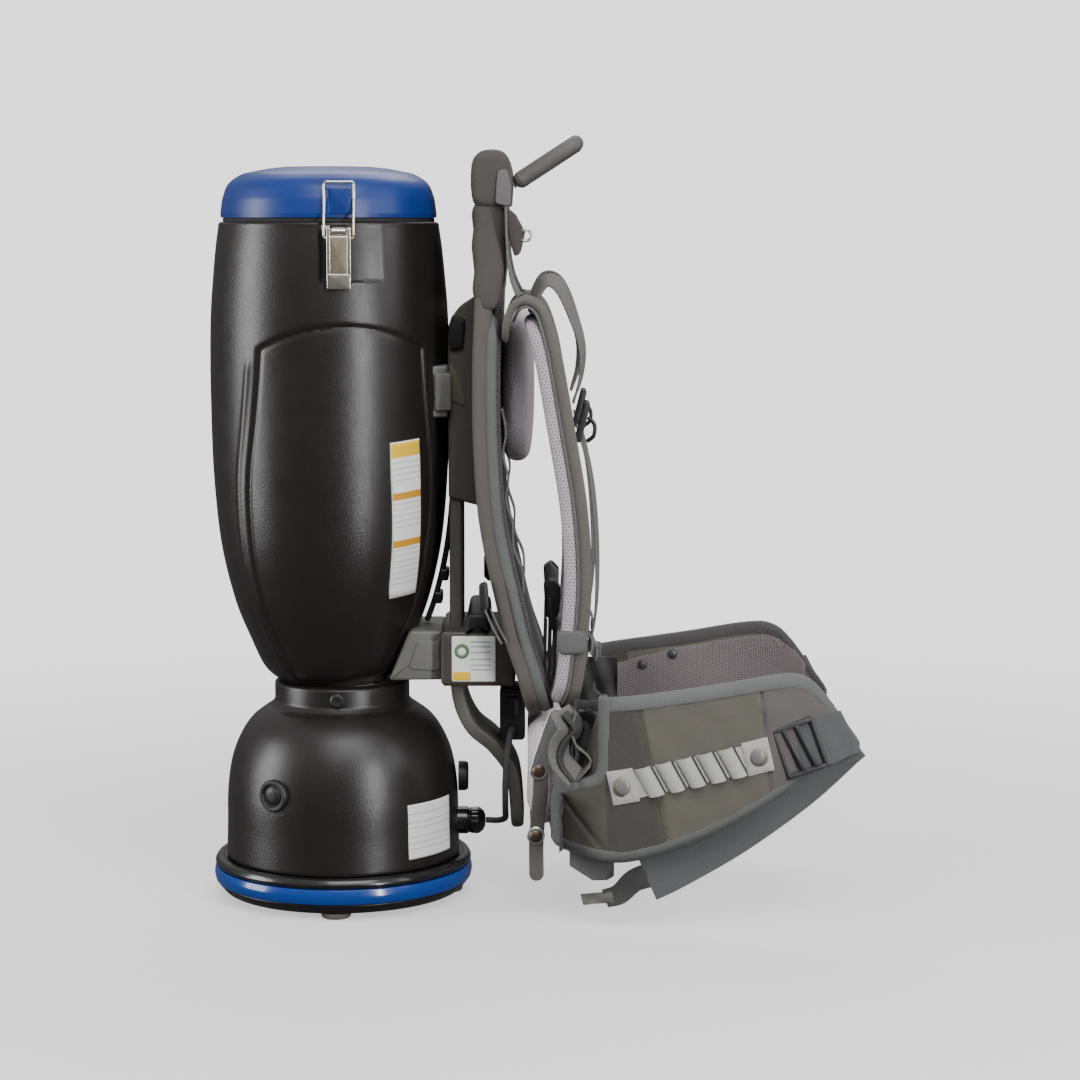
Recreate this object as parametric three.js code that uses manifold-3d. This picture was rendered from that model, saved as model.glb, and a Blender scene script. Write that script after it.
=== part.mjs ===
// Backpack vacuum cleaner: a canister with a clip-on lid, carried on a padded harness with a hip belt.
// Millimetres, +Z up, +X towards the wearer, +Y to the wearer's left. "right" pieces lie at -Y.
// Lengths along X are written from the canister's axis; the finished group is shifted by SHIFT_X so
// that the origin is under the middle of the whole object.
import * as THREE from "three";
import { mergeVertices } from "three/addons/utils/BufferGeometryUtils.js";
import Module from "manifold-3d";

const wasm = await Module();
wasm.setup();

// ---- clearances and facets ----
const FIT = 0.3;
const RUN = 1;
const ROUND_SIDES = 36;
const SMALL_SIDES = 16;

// ---- heights of the canister's stack, from the floor up ----
const FOOT_HEIGHT = 5;
const COVER_HEIGHT = 9.5;
const BAND_HEIGHT = 12.8;
const FLANGE_HEIGHT = 8.5;
const BELL_HEIGHT = 131;
const NECK_HEIGHT = 22;
const HOPPER_HEIGHT = 394.7;
const GASKET_HEIGHT = 6.4;
const LID_HEIGHT = 40.7;

const COVER_Z = FOOT_HEIGHT + FIT;
const BAND_Z = COVER_Z + COVER_HEIGHT;
const FLANGE_Z = BAND_Z + BAND_HEIGHT + FIT;
const BELL_Z = FLANGE_Z + FLANGE_HEIGHT + FIT;
const NECK_Z = BELL_Z + BELL_HEIGHT;
const HOPPER_Z = NECK_Z + NECK_HEIGHT + FIT;
const RIM_Z = HOPPER_Z + HOPPER_HEIGHT;
const GASKET_Z = RIM_Z + FIT;
const LID_Z = GASKET_Z + GASKET_HEIGHT + FIT;
const LID_TOP_Z = LID_Z + LID_HEIGHT;

// ---- canister radii and walls ----
const BASE_RADIUS = 113;
const BELL_RADIUS = 102;
const BELL_WALL = 3;
const NECK_RADIUS = 58.7;
const NECK_TUBE_RADIUS = 50;
const HOPPER_RADIUS = 102.5;
const HOPPER_RIM_RADIUS = 94;
const HOPPER_WALL = 3.5;
const HOPPER_X = -8;
const LID_RADIUS = 92.5;
const LID_WALL = 3;
const FOOT_RADIUS = 13;
const FOOT_CIRCLE = 92;

// ---- hose inlet in the lid ----
const INLET_BORE = 19;
const INLET_WALL = 5;
const INLET_RECESS_RADIUS = 34;
const INLET_RECESS_DEPTH = 12;

// ---- motor and fan ----
const MOTOR_RADIUS = 46;
const MOTOR_Z = BELL_Z + 9;
const MOTOR_HEIGHT = 42;
const FAN_CASE_RADIUS = 68;
const FAN_CASE_HEIGHT = 50;
const FAN_CASE_WALL = 2;
const FAN_RADIUS = 58;
const FAN_THICKNESS = 16;
const SHAFT_RADIUS = 5;

// ---- latches ----
const LATCH_X = 8;
const LATCH_WIDTH = 20;
const LEVER_LENGTH = 50;
const LEVER_THICKNESS = 3.4;
const LEVER_PIVOT_DROP = 7;
const BAIL_PIVOT_DROP = 5.5;
const BAIL_SIDE_GAP = 2;
const BAIL_WIRE = 2.3;
const BAIL_SPREAD = LATCH_WIDTH + 2 * BAIL_SIDE_GAP;
const BAIL_LENGTH = 45;
const CATCH_WIDTH = 18;
const CATCH_OVERLAP = 0.25;
const CATCH_GAP = 0.8;

// ---- harness frame ----
const SPINE_X = 101;
const SPINE_THICKNESS = 11;
const SPINE_WIDTH = 75;
const SPINE_TOP_Z = 503;
const PANEL_WIDTH = 200;
const PANEL_THICKNESS = 23;
const PANEL_TOP_X = 132;
const PANEL_TOP_Z = 603;
const PANEL_FRONT_X = PANEL_TOP_X + PANEL_THICKNESS / 2;
const BOX_WIDTH = 120;
const BOX_Z = 193;
const BOX_HEIGHT = 47;
const CAP_HEIGHT = 15;
const BOX_FRONT_X = 152;
const STRAP_WIDTH = 62;
const STRAP_THICKNESS = 23;
const STRAP_Y = 85;
const WEBBING_THICKNESS = 2;
const STRAP_WEBBING_WIDTH = 25;
const HEAD_REAR_X = 114;
const HEAD_DEPTH = 36;
const HEAD_TOP_Z = 648;
const HEAD_HALF_WIDTH = 82;
const UPPER_PAD_HALF_WIDTH = 50;
const GUSSET_FRONT_X = 122;
const HANDLE_START_X = HEAD_REAR_X + HEAD_DEPTH + 6;
const HANDLE_Z = 621;
const HANDLE_RADIUS = 6.5;
const HANDLE_HALF_WIDTH = 46;
const HANDLE_REACH = 56;
const HANDLE_LIFT = 33 * Math.PI / 180;

// ---- brackets ----
const UPPER_BRACKET_HALF_WIDTH = 50;
const LOWER_BRACKET_HALF_WIDTH = 45;
const STRIP_THICKNESS = 5;
const STRIP_HALF_WIDTH = 11;
const CLIP_HALF_WIDTH = 9;
const CLIP_HALF_HEIGHT = 6;

// ---- hip belt ----
const BELT_TIP_X = 438;
const BELT_REAR_X = 186;
const BELT_THICKNESS = 16;
const BELT_Y = 158;
const BELT_REAR_INSET = 42;
const BELT_TIP_INSET = 24;
const BELT_WEBBING_WIDTH = 38;
const LUMBAR_REAR_X = 165;
const LUMBAR_HALF_WIDTH = BELT_Y - BELT_THICKNESS - BELT_REAR_INSET - FIT;
const RACK_LENGTH = 130;
const RACK_HEIGHT = 32;
const RACK_THICKNESS = 3;
const RACK_TILT = 13 * Math.PI / 180;
const RACK_X = 296;
const RACK_Z = 139;
const SLIDER_X = 386;
const SLIDER_Z = 158;
const SLIDER_LENGTH = 36;
const SLIDER_HEIGHT = 44;
const SLIDER_THICKNESS = 4.5;
const SLIDER_TILT = 20 * Math.PI / 180;

const HOPPER_REAR_X = HOPPER_X - HOPPER_RADIUS;
const SHIFT_X = -(HOPPER_REAR_X + BELT_TIP_X) / 2;

// ---- switch box, rocker and lead ----
const LEAD_RADIUS = 2.75;
const GLAND_Z = 63;
const GLAND_LENGTH = 27.5;
const GLAND_TIP_X = BELL_RADIUS - 4.5 + GLAND_LENGTH;
const SWITCH_REAR_X = 138;
const SWITCH_FRONT_X = 160;
const SWITCH_HALF_WIDTH = 20;
const SWITCH_LOW_Z = 138;
const SWITCH_TOP_Z = 184;
const ROCKER_X = 149;
const ROCKER_Z = 169;
const ROCKER_LENGTH = 18;
const ROCKER_WIDTH = 11;
const ROCKER_DEPTH = 5;
const ROCKER_TILT = 8 * Math.PI / 180;

// ---- finishes ----
const finish = (color, roughness, metalness = 0) => ({ color, roughness, metalness });
const BLUE = finish(0x2b5196, 0.45);
const CHARCOAL = finish(0x2b2928, 0.6);
const GLOSS_BLACK = finish(0x1c1b1b, 0.25);
const DARK_RUBBER = finish(0x1a1a1a, 0.85);
const STEEL = finish(0xcfc8bc, 0.3, 1);
const ALUMINIUM = finish(0xb9bbbd, 0.4, 0.9);
const COPPER = finish(0x9b7257, 0.4, 1);
const GREY_PLASTIC = finish(0x8b8c86, 0.55);
const DARK_FABRIC = finish(0x4b4746, 0.95);
const GREY_FABRIC = finish(0x64625f, 0.95);
const PALE_MESH = finish(0xc8c3c8, 0.95);
const WEBBING = finish(0x808382, 0.9);
const PAPER_WHITE = finish(0xe8e6e0, 0.9);

const object = new THREE.Group();

// Merges shared corners and turns the faces outwards if the signed volume is negative.
function solid(geometry) {
  geometry.deleteAttribute("normal");
  geometry.deleteAttribute("uv");
  const merged = mergeVertices(geometry, 1e-4);
  const position = merged.attributes.position;
  const index = merged.index.array;
  const [a, b, c] = [new THREE.Vector3(), new THREE.Vector3(), new THREE.Vector3()];
  let volume = 0;
  for (let i = 0; i < index.length; i += 3) {
    a.fromBufferAttribute(position, index[i]);
    b.fromBufferAttribute(position, index[i + 1]);
    c.fromBufferAttribute(position, index[i + 2]);
    volume += a.dot(b.cross(c));
  }
  if (volume < 0) index.reverse();
  return merged;
}

function toManifold(geometry) {
  const merged = solid(geometry);
  const mesh = new wasm.Mesh({
    numProp: 3,
    vertProperties: new Float32Array(merged.attributes.position.array),
    triVerts: new Uint32Array(merged.index.array),
  });
  return new wasm.Manifold(mesh);
}

function fromManifold(manifold) {
  const mesh = manifold.getMesh();
  const geometry = new THREE.BufferGeometry();
  geometry.setAttribute("position", new THREE.BufferAttribute(mesh.vertProperties, 3));
  geometry.setIndex(new THREE.BufferAttribute(mesh.triVerts, 1));
  return geometry;
}

const cut = (geometry, ...tools) => fromManifold(
  tools.reduce((rest, tool) => rest.subtract(toManifold(tool)), toManifold(geometry)));

const join = (...geometries) => fromManifold(
  geometries.map(toManifold).reduce((sum, part) => sum.add(part)));

function addPart(name, geometry, look) {
  const mesh = new THREE.Mesh(solid(geometry), new THREE.MeshStandardMaterial(look));
  mesh.name = name;
  mesh.position.x = SHIFT_X;
  object.add(mesh);
}

// Adds a right-hand (side -1) and a left-hand (side +1) copy of what make(side) returns.
function addPair(name, look, make) {
  for (const [suffix, side] of [["right", -1], ["left", 1]]) addPart(`${name}_${suffix}`, make(side), look);
}

// A profile of [radius, z] pairs turned about the upright line through (x, y).
function turned(profile, x = 0, y = 0, sides = ROUND_SIDES) {
  const points = profile.map(([radius, z]) => new THREE.Vector2(radius, z));
  return new THREE.LatheGeometry(points, sides).rotateX(Math.PI / 2).translate(x, y, 0);
}

const closedProfile = (profile) => [...profile, profile[0]];

const ring = (inner, outer, low, high, x = 0, y = 0, sides = ROUND_SIDES) => turned(
  closedProfile([[inner, low], [outer, low], [outer, high], [inner, high]]), x, y, sides);

const disc = (radius, low, high, x = 0, y = 0, sides = ROUND_SIDES) => turned(
  [[0, low], [radius, low], [radius, high], [0, high]], x, y, sides);

const block = (x0, x1, y0, y1, z0, z1) => new THREE.BoxGeometry(x1 - x0, Math.abs(y1 - y0), z1 - z0)
  .translate((x0 + x1) / 2, (y0 + y1) / 2, (z0 + z1) / 2);

// A side outline in X and Z, given depth along Y between two planes, with its rims rounded.
function prism(outline, yA, yB, rim = 0) {
  const shape = new THREE.Shape(outline.map(([x, z]) => new THREE.Vector2(x, z)));
  const depth = Math.abs(yB - yA);
  const bevel = {
    bevelEnabled: rim > 0, bevelThickness: rim, bevelSize: rim, bevelOffset: -rim, bevelSegments: 2,
  };
  const geometry = new THREE.ExtrudeGeometry(shape, { depth: depth - 2 * rim, steps: 1, ...bevel });
  return geometry.rotateX(Math.PI / 2).translate(0, Math.max(yA, yB) - rim, 0);
}

// Points of a smooth curve through [x, z] pairs.
const smooth = (points, count) => new THREE.SplineCurve(
  points.map(([x, z]) => new THREE.Vector2(x, z))).getPoints(count).map(({ x, y }) => [x, y]);

// Outline of a band of even thickness whose middle follows a smooth curve in X and Z.
function bandOutline(points, thickness, count) {
  const curve = new THREE.SplineCurve(points.map(([x, z]) => new THREE.Vector2(x, z)));
  const front = [];
  const back = [];
  for (let i = 0; i <= count; i += 1) {
    const middle = curve.getPoint(i / count);
    const along = curve.getTangent(i / count);
    const half = thickness / 2;
    front.push([middle.x + along.y * half, middle.y - along.x * half]);
    back.unshift([middle.x - along.y * half, middle.y + along.x * half]);
  }
  return [...front, ...back];
}

const band = (points, thickness, count, yA, yB, rim = 0) => prism(
  bandOutline(points, thickness, count), yA, yB, rim);

// Joins sections of equal point count, each convex and flat, into one closed body.
function loft(sections) {
  const count = sections[0].length;
  const index = [];
  for (let s = 0; s < sections.length - 1; s += 1) {
    for (let k = 0; k < count; k += 1) {
      const next = (k + 1) % count;
      const [a, b] = [s * count + k, s * count + next];
      index.push(a, b, b + count, a, b + count, a + count);
    }
  }
  const last = (sections.length - 1) * count;
  for (let k = 1; k < count - 1; k += 1) index.push(0, k + 1, k, last, last + k, last + k + 1);
  const geometry = new THREE.BufferGeometry();
  geometry.setAttribute("position", new THREE.Float32BufferAttribute(sections.flat(2), 3));
  geometry.setIndex(index);
  return geometry;
}

// A rod of round section along a smooth line through [x, y, z] points.
function rod(points, radius, sides, steps) {
  const path = new THREE.CatmullRomCurve3(points.map((p) => new THREE.Vector3(...p)));
  const section = new THREE.Shape();
  for (let i = 0; i < sides; i += 1) {
    const angle = 2 * Math.PI * i / sides;
    const corner = [radius * Math.cos(angle), radius * Math.sin(angle)];
    if (i === 0) section.moveTo(...corner);
    else section.lineTo(...corner);
  }
  return new THREE.ExtrudeGeometry(section, { extrudePath: path, steps });
}

// A short round piece whose axis points along a flat direction at an angle from +X.
function stub(profile, angle, start, z) {
  return turned(profile, 0, 0, SMALL_SIDES)
    .rotateY(Math.PI / 2)
    .translate(start, 0, 0)
    .rotateZ(angle)
    .translate(0, 0, z);
}

// ---- outer curves that other pieces seat on ----
function hopperProfile(grow = 0) {
  const h = HOPPER_HEIGHT;
  const shares = [
    [0.45, 0], [0.58, 0.032], [0.69, 0.093], [0.82, 0.18], [0.93, 0.306], [0.985, 0.46],
    [1, 0.615], [1, 0.727], [0.99, 0.813], [0.97, 0.88], [0.945, 0.947],
  ].map(([share, height]) => [share * HOPPER_RADIUS, HOPPER_Z + height * h]);
  return smooth([...shares, [HOPPER_RIM_RADIUS, RIM_Z]], 15).map(([r, z]) => [r + grow, z]);
}

function bellProfile(grow = 0) {
  const low = BELL_Z;
  const high = NECK_Z;
  const shares = [[1, 0], [0.99, 0.2], [0.985, 0.44], [0.94, 0.65], [0.86, 0.81], [0.74, 0.94]];
  const outer = shares.map(([share, height]) => [share * BELL_RADIUS, low + height * (high - low)]);
  return smooth([...outer, [NECK_TUBE_RADIUS + 6, high]], 9).map(([r, z]) => [r + grow, z]);
}

const grownHopper = () => turned(
  [[0, HOPPER_Z], ...hopperProfile(FIT), [0, RIM_Z]], HOPPER_X);

const grownBell = () => turned([[0, BELL_Z], ...bellProfile(FIT), [0, NECK_Z]]);

// Radius of the hopper's outside at a height, by straight lines between its profile's points.
function hopperRadiusAt(z) {
  const profile = hopperProfile();
  const after = profile.findIndex(([, height]) => height >= z);
  const [r0, z0] = profile[after - 1];
  const [r1, z1] = profile[after];
  return r0 + (r1 - r0) * (z - z0) / (z1 - z0);
}

// ---- base ----
function buildFeet() {
  const names = ["front", "left", "rear", "right"];
  names.forEach((name, i) => {
    const angle = i * Math.PI / 2;
    const foot = turned(
      [[0, 0], [FOOT_RADIUS - 1.5, 0], [FOOT_RADIUS, 1.5], [FOOT_RADIUS, FOOT_HEIGHT], [0, FOOT_HEIGHT]],
      FOOT_CIRCLE * Math.cos(angle), FOOT_CIRCLE * Math.sin(angle), SMALL_SIDES);
    addPart(`foot_${name}`, foot, DARK_RUBBER);
  });
}

function buildBase() {
  const step = 12;
  const floor = 4;
  const coverTop = FLANGE_Z - FIT;
  const bandInner = BASE_RADIUS - step;
  addPart("bottom_cover", turned([
    [0, COVER_Z], [BASE_RADIUS - 8, COVER_Z], [BASE_RADIUS - 1.5, BAND_Z - FIT], [bandInner - FIT, BAND_Z - FIT],
    [bandInner - FIT, coverTop], [bandInner - 5, coverTop], [bandInner - 5, COVER_Z + floor], [0, COVER_Z + floor],
  ]), CHARCOAL);
  addPart("blue_band", turned(closedProfile([
    [bandInner, BAND_Z], [BASE_RADIUS - 1.5, BAND_Z], [BASE_RADIUS, BAND_Z + BAND_HEIGHT * 0.3],
    [BASE_RADIUS, BAND_Z + BAND_HEIGHT * 0.7], [BASE_RADIUS - 1.5, BAND_Z + BAND_HEIGHT],
    [bandInner, BAND_Z + BAND_HEIGHT],
  ])), BLUE);
  addPart("base_flange", turned(closedProfile([
    [FAN_CASE_RADIUS, FLANGE_Z], [BASE_RADIUS - 3, FLANGE_Z], [BASE_RADIUS - 1, FLANGE_Z + 3],
    [BASE_RADIUS - 4, FLANGE_Z + 6.5], [BELL_RADIUS + 2, FLANGE_Z + FLANGE_HEIGHT],
    [FAN_CASE_RADIUS, FLANGE_Z + FLANGE_HEIGHT],
  ])), GLOSS_BLACK);
}

// ---- motor housing and what hangs on it ----
function buildHousing() {
  const outer = bellProfile();
  const inner = bellProfile(-BELL_WALL).map(([r, z]) => [r, z - (z > NECK_Z - 30 ? BELL_WALL * (z - NECK_Z + 30) / 30 : 0)]);
  const neckTop = HOPPER_Z - FIT;
  const tubeInner = NECK_TUBE_RADIUS - BELL_WALL;
  addPart("motor_housing", turned(closedProfile([
    ...outer, [NECK_RADIUS, NECK_Z + 2], [NECK_RADIUS, neckTop - 3], [NECK_RADIUS - 1, neckTop],
    [tubeInner, neckTop], [tubeInner, NECK_Z - BELL_WALL], ...inner.reverse(),
  ])), CHARCOAL);
}

function buildHousingFittings() {
  const plugZ = BELL_Z + 66;
  const plugAngle = 122 * Math.PI / 180;
  const plug = [[0, 0], [14, 0], [14, 8], [12.5, 10], [9.5, 10], [8.5, 11.5], [4, 13], [0, 13.4]];
  addPart("housing_plug", cut(stub(plug, -plugAngle, BELL_RADIUS - 9, plugZ), grownBell()), GLOSS_BLACK);
  addPart("housing_boss", cut(
    stub([[0, 0], [13, 0], [13, 13], [11, 15], [0, 15]], 0, BELL_RADIUS - 7, plugZ), grownBell()), CHARCOAL);
  addPart("cable_gland", cut(stub([
    [0, 0], [12, 0], [12, 12], [10.5, 13], [11.5, 16], [11.5, 22], [9, 26],
    [LEAD_RADIUS + 2, GLAND_LENGTH], [0, GLAND_LENGTH],
  ], 0, BELL_RADIUS - 4.5, GLAND_Z), grownBell()), GLOSS_BLACK);
}

function buildMotor() {
  const caseZ = MOTOR_Z + MOTOR_HEIGHT + FIT;
  const caseTop = caseZ + FAN_CASE_HEIGHT;
  const pocket = 4;
  const coverFloor = COVER_Z + 4 + FIT;
  addPart("motor_foot", disc(30, coverFloor, MOTOR_Z - FIT), DARK_RUBBER);
  addPart("motor_can", turned([
    [0, MOTOR_Z], [MOTOR_RADIUS, MOTOR_Z], [MOTOR_RADIUS, MOTOR_Z + MOTOR_HEIGHT],
    [14, MOTOR_Z + MOTOR_HEIGHT], [14, MOTOR_Z + MOTOR_HEIGHT - pocket], [0, MOTOR_Z + MOTOR_HEIGHT - pocket],
  ]), STEEL);
  addPart("fan_housing", turned(closedProfile([
    [SHAFT_RADIUS + RUN, caseZ], [FAN_CASE_RADIUS - 2, caseZ], [FAN_CASE_RADIUS, caseZ + 3],
    [FAN_CASE_RADIUS, caseTop - 5], [FAN_CASE_RADIUS - 5, caseTop], [22, caseTop],
    [22, caseTop - FAN_CASE_WALL], [FAN_CASE_RADIUS - 7, caseTop - FAN_CASE_WALL],
    [FAN_CASE_RADIUS - FAN_CASE_WALL, caseTop - 7], [FAN_CASE_RADIUS - FAN_CASE_WALL, caseZ + FAN_CASE_WALL],
    [SHAFT_RADIUS + RUN, caseZ + FAN_CASE_WALL],
  ])), ALUMINIUM);
  const fanZ = caseZ + 20;
  addPart("fan_rotor", turned([
    [0, MOTOR_Z + MOTOR_HEIGHT - pocket + FIT], [SHAFT_RADIUS, MOTOR_Z + MOTOR_HEIGHT - pocket + FIT],
    [SHAFT_RADIUS, fanZ], [FAN_RADIUS, fanZ], [FAN_RADIUS, fanZ + FAN_THICKNESS * 0.5],
    [16, fanZ + FAN_THICKNESS], [SHAFT_RADIUS, fanZ + FAN_THICKNESS + 4], [0, fanZ + FAN_THICKNESS + 4],
  ]), ALUMINIUM);
  addPart("motor_seal", ring(38, NECK_TUBE_RADIUS, caseTop + FIT, NECK_Z - BELL_WALL - 2 * FIT), DARK_RUBBER);
  addPart("exhaust_filter", ring(
    FAN_CASE_RADIUS + 4, BELL_RADIUS - BELL_WALL - 4, BELL_Z, BELL_Z + 42), PAPER_WHITE);
  addPart("motor_filter", disc(
    NECK_TUBE_RADIUS - BELL_WALL - FIT, NECK_Z + 4, HOPPER_Z - 2), DARK_FABRIC);
}

// ---- hopper, bag and lid ----
function buildHopper() {
  const outer = hopperProfile();
  const inner = hopperProfile(-HOPPER_WALL).filter(([, z]) => z > HOPPER_Z + HOPPER_WALL + 6);
  const holeRadius = 28;
  addPart("body_shell", turned(closedProfile([
    ...outer, ...inner.reverse(), [holeRadius, HOPPER_Z + HOPPER_WALL + 2], [holeRadius, HOPPER_Z],
  ]), HOPPER_X), CHARCOAL);
  const bagGap = 5;
  const bag = hopperProfile(-HOPPER_WALL - bagGap).filter(
    ([, z], i) => i % 2 === 0 && z > HOPPER_Z + 25 && z < RIM_Z - 30);
  const collar = HOPPER_RIM_RADIUS - HOPPER_WALL - FIT;
  addPart("filter_bag", turned([
    [0, bag[0][1] - 12], ...bag, [collar - bagGap, RIM_Z - 8], [collar, RIM_Z - 8], [collar, RIM_Z - 2],
    [0, RIM_Z - 2],
  ], HOPPER_X), PAPER_WHITE);
  addPart("lid_gasket", ring(HOPPER_RIM_RADIUS - 11, HOPPER_RIM_RADIUS - 1.5, GASKET_Z, LID_Z - FIT, HOPPER_X),
    DARK_RUBBER);
}

function lidOutline() {
  const r = LID_RADIUS;
  const top = LID_TOP_Z;
  return [[r, LID_Z], [r - 1, LID_Z + 6], [r - 1.5, LID_Z + 17], [r - 4, LID_Z + 25], [r - 10, top - 9],
    [r - 19, top - 4.5], [r - 36, top - 1.5], [INLET_RECESS_RADIUS, top]];
}

function buildLid() {
  const recessZ = LID_TOP_Z - INLET_RECESS_DEPTH;
  const holeRadius = INLET_BORE + INLET_WALL + RUN;
  const inner = lidOutline().slice(0, 7).map(
    ([r, z]) => [r - LID_WALL - 1, Math.max(LID_Z, z - LID_WALL)]).reverse();
  const shell = turned(closedProfile([
    ...lidOutline(), [INLET_RECESS_RADIUS, recessZ], [holeRadius, recessZ], [holeRadius, recessZ - LID_WALL],
    [INLET_RECESS_RADIUS + LID_WALL, recessZ - LID_WALL], ...inner,
  ]), HOPPER_X);
  const catches = [-1, 1].map((side) => {
    const face = CATCH_FACE_Y;
    const low = LID_Z + 1;
    const high = CATCH_TOP_Z;
    const outline = [[LATCH_X - CATCH_WIDTH / 2, low], [LATCH_X + CATCH_WIDTH / 2, low],
      [LATCH_X + CATCH_WIDTH / 2, high], [LATCH_X - CATCH_WIDTH / 2, high]];
    return prism(outline, side * (LID_RADIUS - LID_WALL - 1), side * face);
  });
  addPart("lid", join(shell, ...catches), BLUE);
  const boreTop = LID_TOP_Z - 2;
  addPart("hose_swivel", turned(closedProfile([
    [INLET_BORE, recessZ - 16], [INLET_BORE + INLET_WALL, recessZ - 16], [INLET_BORE + INLET_WALL, recessZ + FIT],
    [INLET_RECESS_RADIUS - 2, recessZ + FIT], [INLET_RECESS_RADIUS - 2, recessZ + 6],
    [INLET_BORE + INLET_WALL, boreTop], [INLET_BORE, boreTop],
  ]), HOPPER_X), GLOSS_BLACK);
}

// ---- latches: a knuckle on the hopper, a lever hinged on it and a wire bail hinged on the lever ----
const LEVER_PIVOT_Z = RIM_Z - LEVER_PIVOT_DROP;
const BAIL_PIVOT_Z = LEVER_PIVOT_Z - BAIL_PIVOT_DROP;
const BAIL_BAR_Z = BAIL_PIVOT_Z + BAIL_LENGTH;
const CATCH_TOP_Z = BAIL_BAR_Z - BAIL_WIRE / 2 - CATCH_GAP;
const LEVER_FACE_Y = HOPPER_RADIUS - 1.6;
const PIVOT_Y = LEVER_FACE_Y + LEVER_THICKNESS / 2;
const BAIL_TOP_Y = LID_RADIUS + 1.4;
const CATCH_FACE_Y = BAIL_TOP_Y - BAIL_WIRE / 2 + CATCH_OVERLAP;

function buildLatches() {
  const half = LATCH_WIDTH / 2;
  const knuckle = 6;
  const slotZ = BAIL_PIVOT_Z - 3;
  const leverTop = LEVER_PIVOT_Z + 3.5;
  const leverLow = leverTop - LEVER_LENGTH;
  const x = LATCH_X;
  addPair("latch_lever", STEEL, (side) => prism([
    [x - half, leverLow + 2], [x - half + 2, leverLow], [x + half - 2, leverLow], [x + half, leverLow + 2],
    [x + half, leverTop], [x + knuckle + FIT, leverTop], [x + knuckle + FIT, slotZ],
    [x - knuckle - FIT, slotZ], [x - knuckle - FIT, leverTop], [x - half, leverTop],
  ], side * LEVER_FACE_Y, side * (LEVER_FACE_Y + LEVER_THICKNESS)));
  addPair("latch_knuckle", STEEL, (side) => cut(block(
    x - knuckle, x + knuckle, side * (HOPPER_RIM_RADIUS - 6), side * (LEVER_FACE_Y + LEVER_THICKNESS),
    slotZ + RUN + LEVER_THICKNESS, leverTop), grownHopper()));
  addPair("latch_bail", STEEL, (side) => {
    const arm = BAIL_SPREAD / 2;
    const inner = half + 2 * FIT;
    const bend = 3;
    const topY = side * BAIL_TOP_Y;
    const lowY = side * PIVOT_Y;
    const route = [
      [x - inner, lowY, BAIL_PIVOT_Z], [x - arm + 0.4, lowY, BAIL_PIVOT_Z + 0.3],
      [x - arm, lowY, BAIL_PIVOT_Z + bend], [x - arm, topY, BAIL_BAR_Z - 12], [x - arm, topY, BAIL_BAR_Z - bend],
      [x - arm + bend, topY, BAIL_BAR_Z], [x + arm - bend, topY, BAIL_BAR_Z],
      [x + arm, topY, BAIL_BAR_Z - bend], [x + arm, topY, BAIL_BAR_Z - 12], [x + arm, lowY, BAIL_PIVOT_Z + bend],
      [x + arm - 0.4, lowY, BAIL_PIVOT_Z + 0.3], [x + inner, lowY, BAIL_PIVOT_Z],
    ];
    return rod(route, BAIL_WIRE / 2, 6, 36);
  });
}

// ---- brackets between the canister and the harness ----
const SPINE_ROUTE = [
  [SPINE_X, SPINE_TOP_Z], [SPINE_X, 400], [SPINE_X, 300], [SPINE_X, 215], [103, 178], [114, 152],
  [133, 135], [149, 110], [154, 62],
];
const spineSlab = (grow) => band(
  SPINE_ROUTE, SPINE_THICKNESS + 2 * grow, 26, -SPINE_WIDTH / 2 - grow, SPINE_WIDTH / 2 + grow);

function buildBrackets() {
  const rear = SPINE_X - SPINE_THICKNESS / 2 - FIT;
  addPart("upper_bracket", cut(prism([
    [78, 420], [rear, 420], [rear, 462], [rear - 3, 466], [78, 466],
  ], -UPPER_BRACKET_HALF_WIDTH, UPPER_BRACKET_HALF_WIDTH), grownHopper()), GREY_PLASTIC);
  addPart("lower_bracket", cut(prism([
    [42, BOX_Z + 1], [88, BOX_Z + 3], [88, BOX_Z + BOX_HEIGHT - 2], [60, BOX_Z + BOX_HEIGHT - 2],
  ], -LOWER_BRACKET_HALF_WIDTH, LOWER_BRACKET_HALF_WIDTH), grownHopper()), GREY_PLASTIC);
  const capRear = SPINE_X + SPINE_THICKNESS / 2 + 2;
  addPart("bracket_box", cut(prism([
    [88 + FIT, BOX_Z], [BOX_FRONT_X - 14, BOX_Z], [BOX_FRONT_X, BOX_Z + 14],
    [BOX_FRONT_X - 10, BOX_Z + BOX_HEIGHT], [capRear + 22, BOX_Z + BOX_HEIGHT],
    [capRear + 20, BOX_Z + BOX_HEIGHT + CAP_HEIGHT], [capRear, BOX_Z + BOX_HEIGHT + CAP_HEIGHT],
    [capRear, BOX_Z + BOX_HEIGHT], [88 + FIT, BOX_Z + BOX_HEIGHT],
  ], -BOX_WIDTH / 2, BOX_WIDTH / 2), spineSlab(FIT), panelSlab(FIT)), CHARCOAL);
  const strip = [];
  for (let z = 415; z >= 240; z -= 25) strip.push([HOPPER_X + hopperRadiusAt(z) + 3, z]);
  const clips = [282, 262].map((z) => block(
    HOPPER_X + hopperRadiusAt(z), rear, -CLIP_HALF_WIDTH, CLIP_HALF_WIDTH, z - CLIP_HALF_HEIGHT, z + CLIP_HALF_HEIGHT));
  addPart("spine_strip", cut(join(band(strip, STRIP_THICKNESS, 14, -STRIP_HALF_WIDTH, STRIP_HALF_WIDTH), ...clips), grownHopper(), spineSlab(FIT)),
    GLOSS_BLACK);
  addPart("spine_plate", spineSlab(0), GREY_PLASTIC);
}

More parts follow.
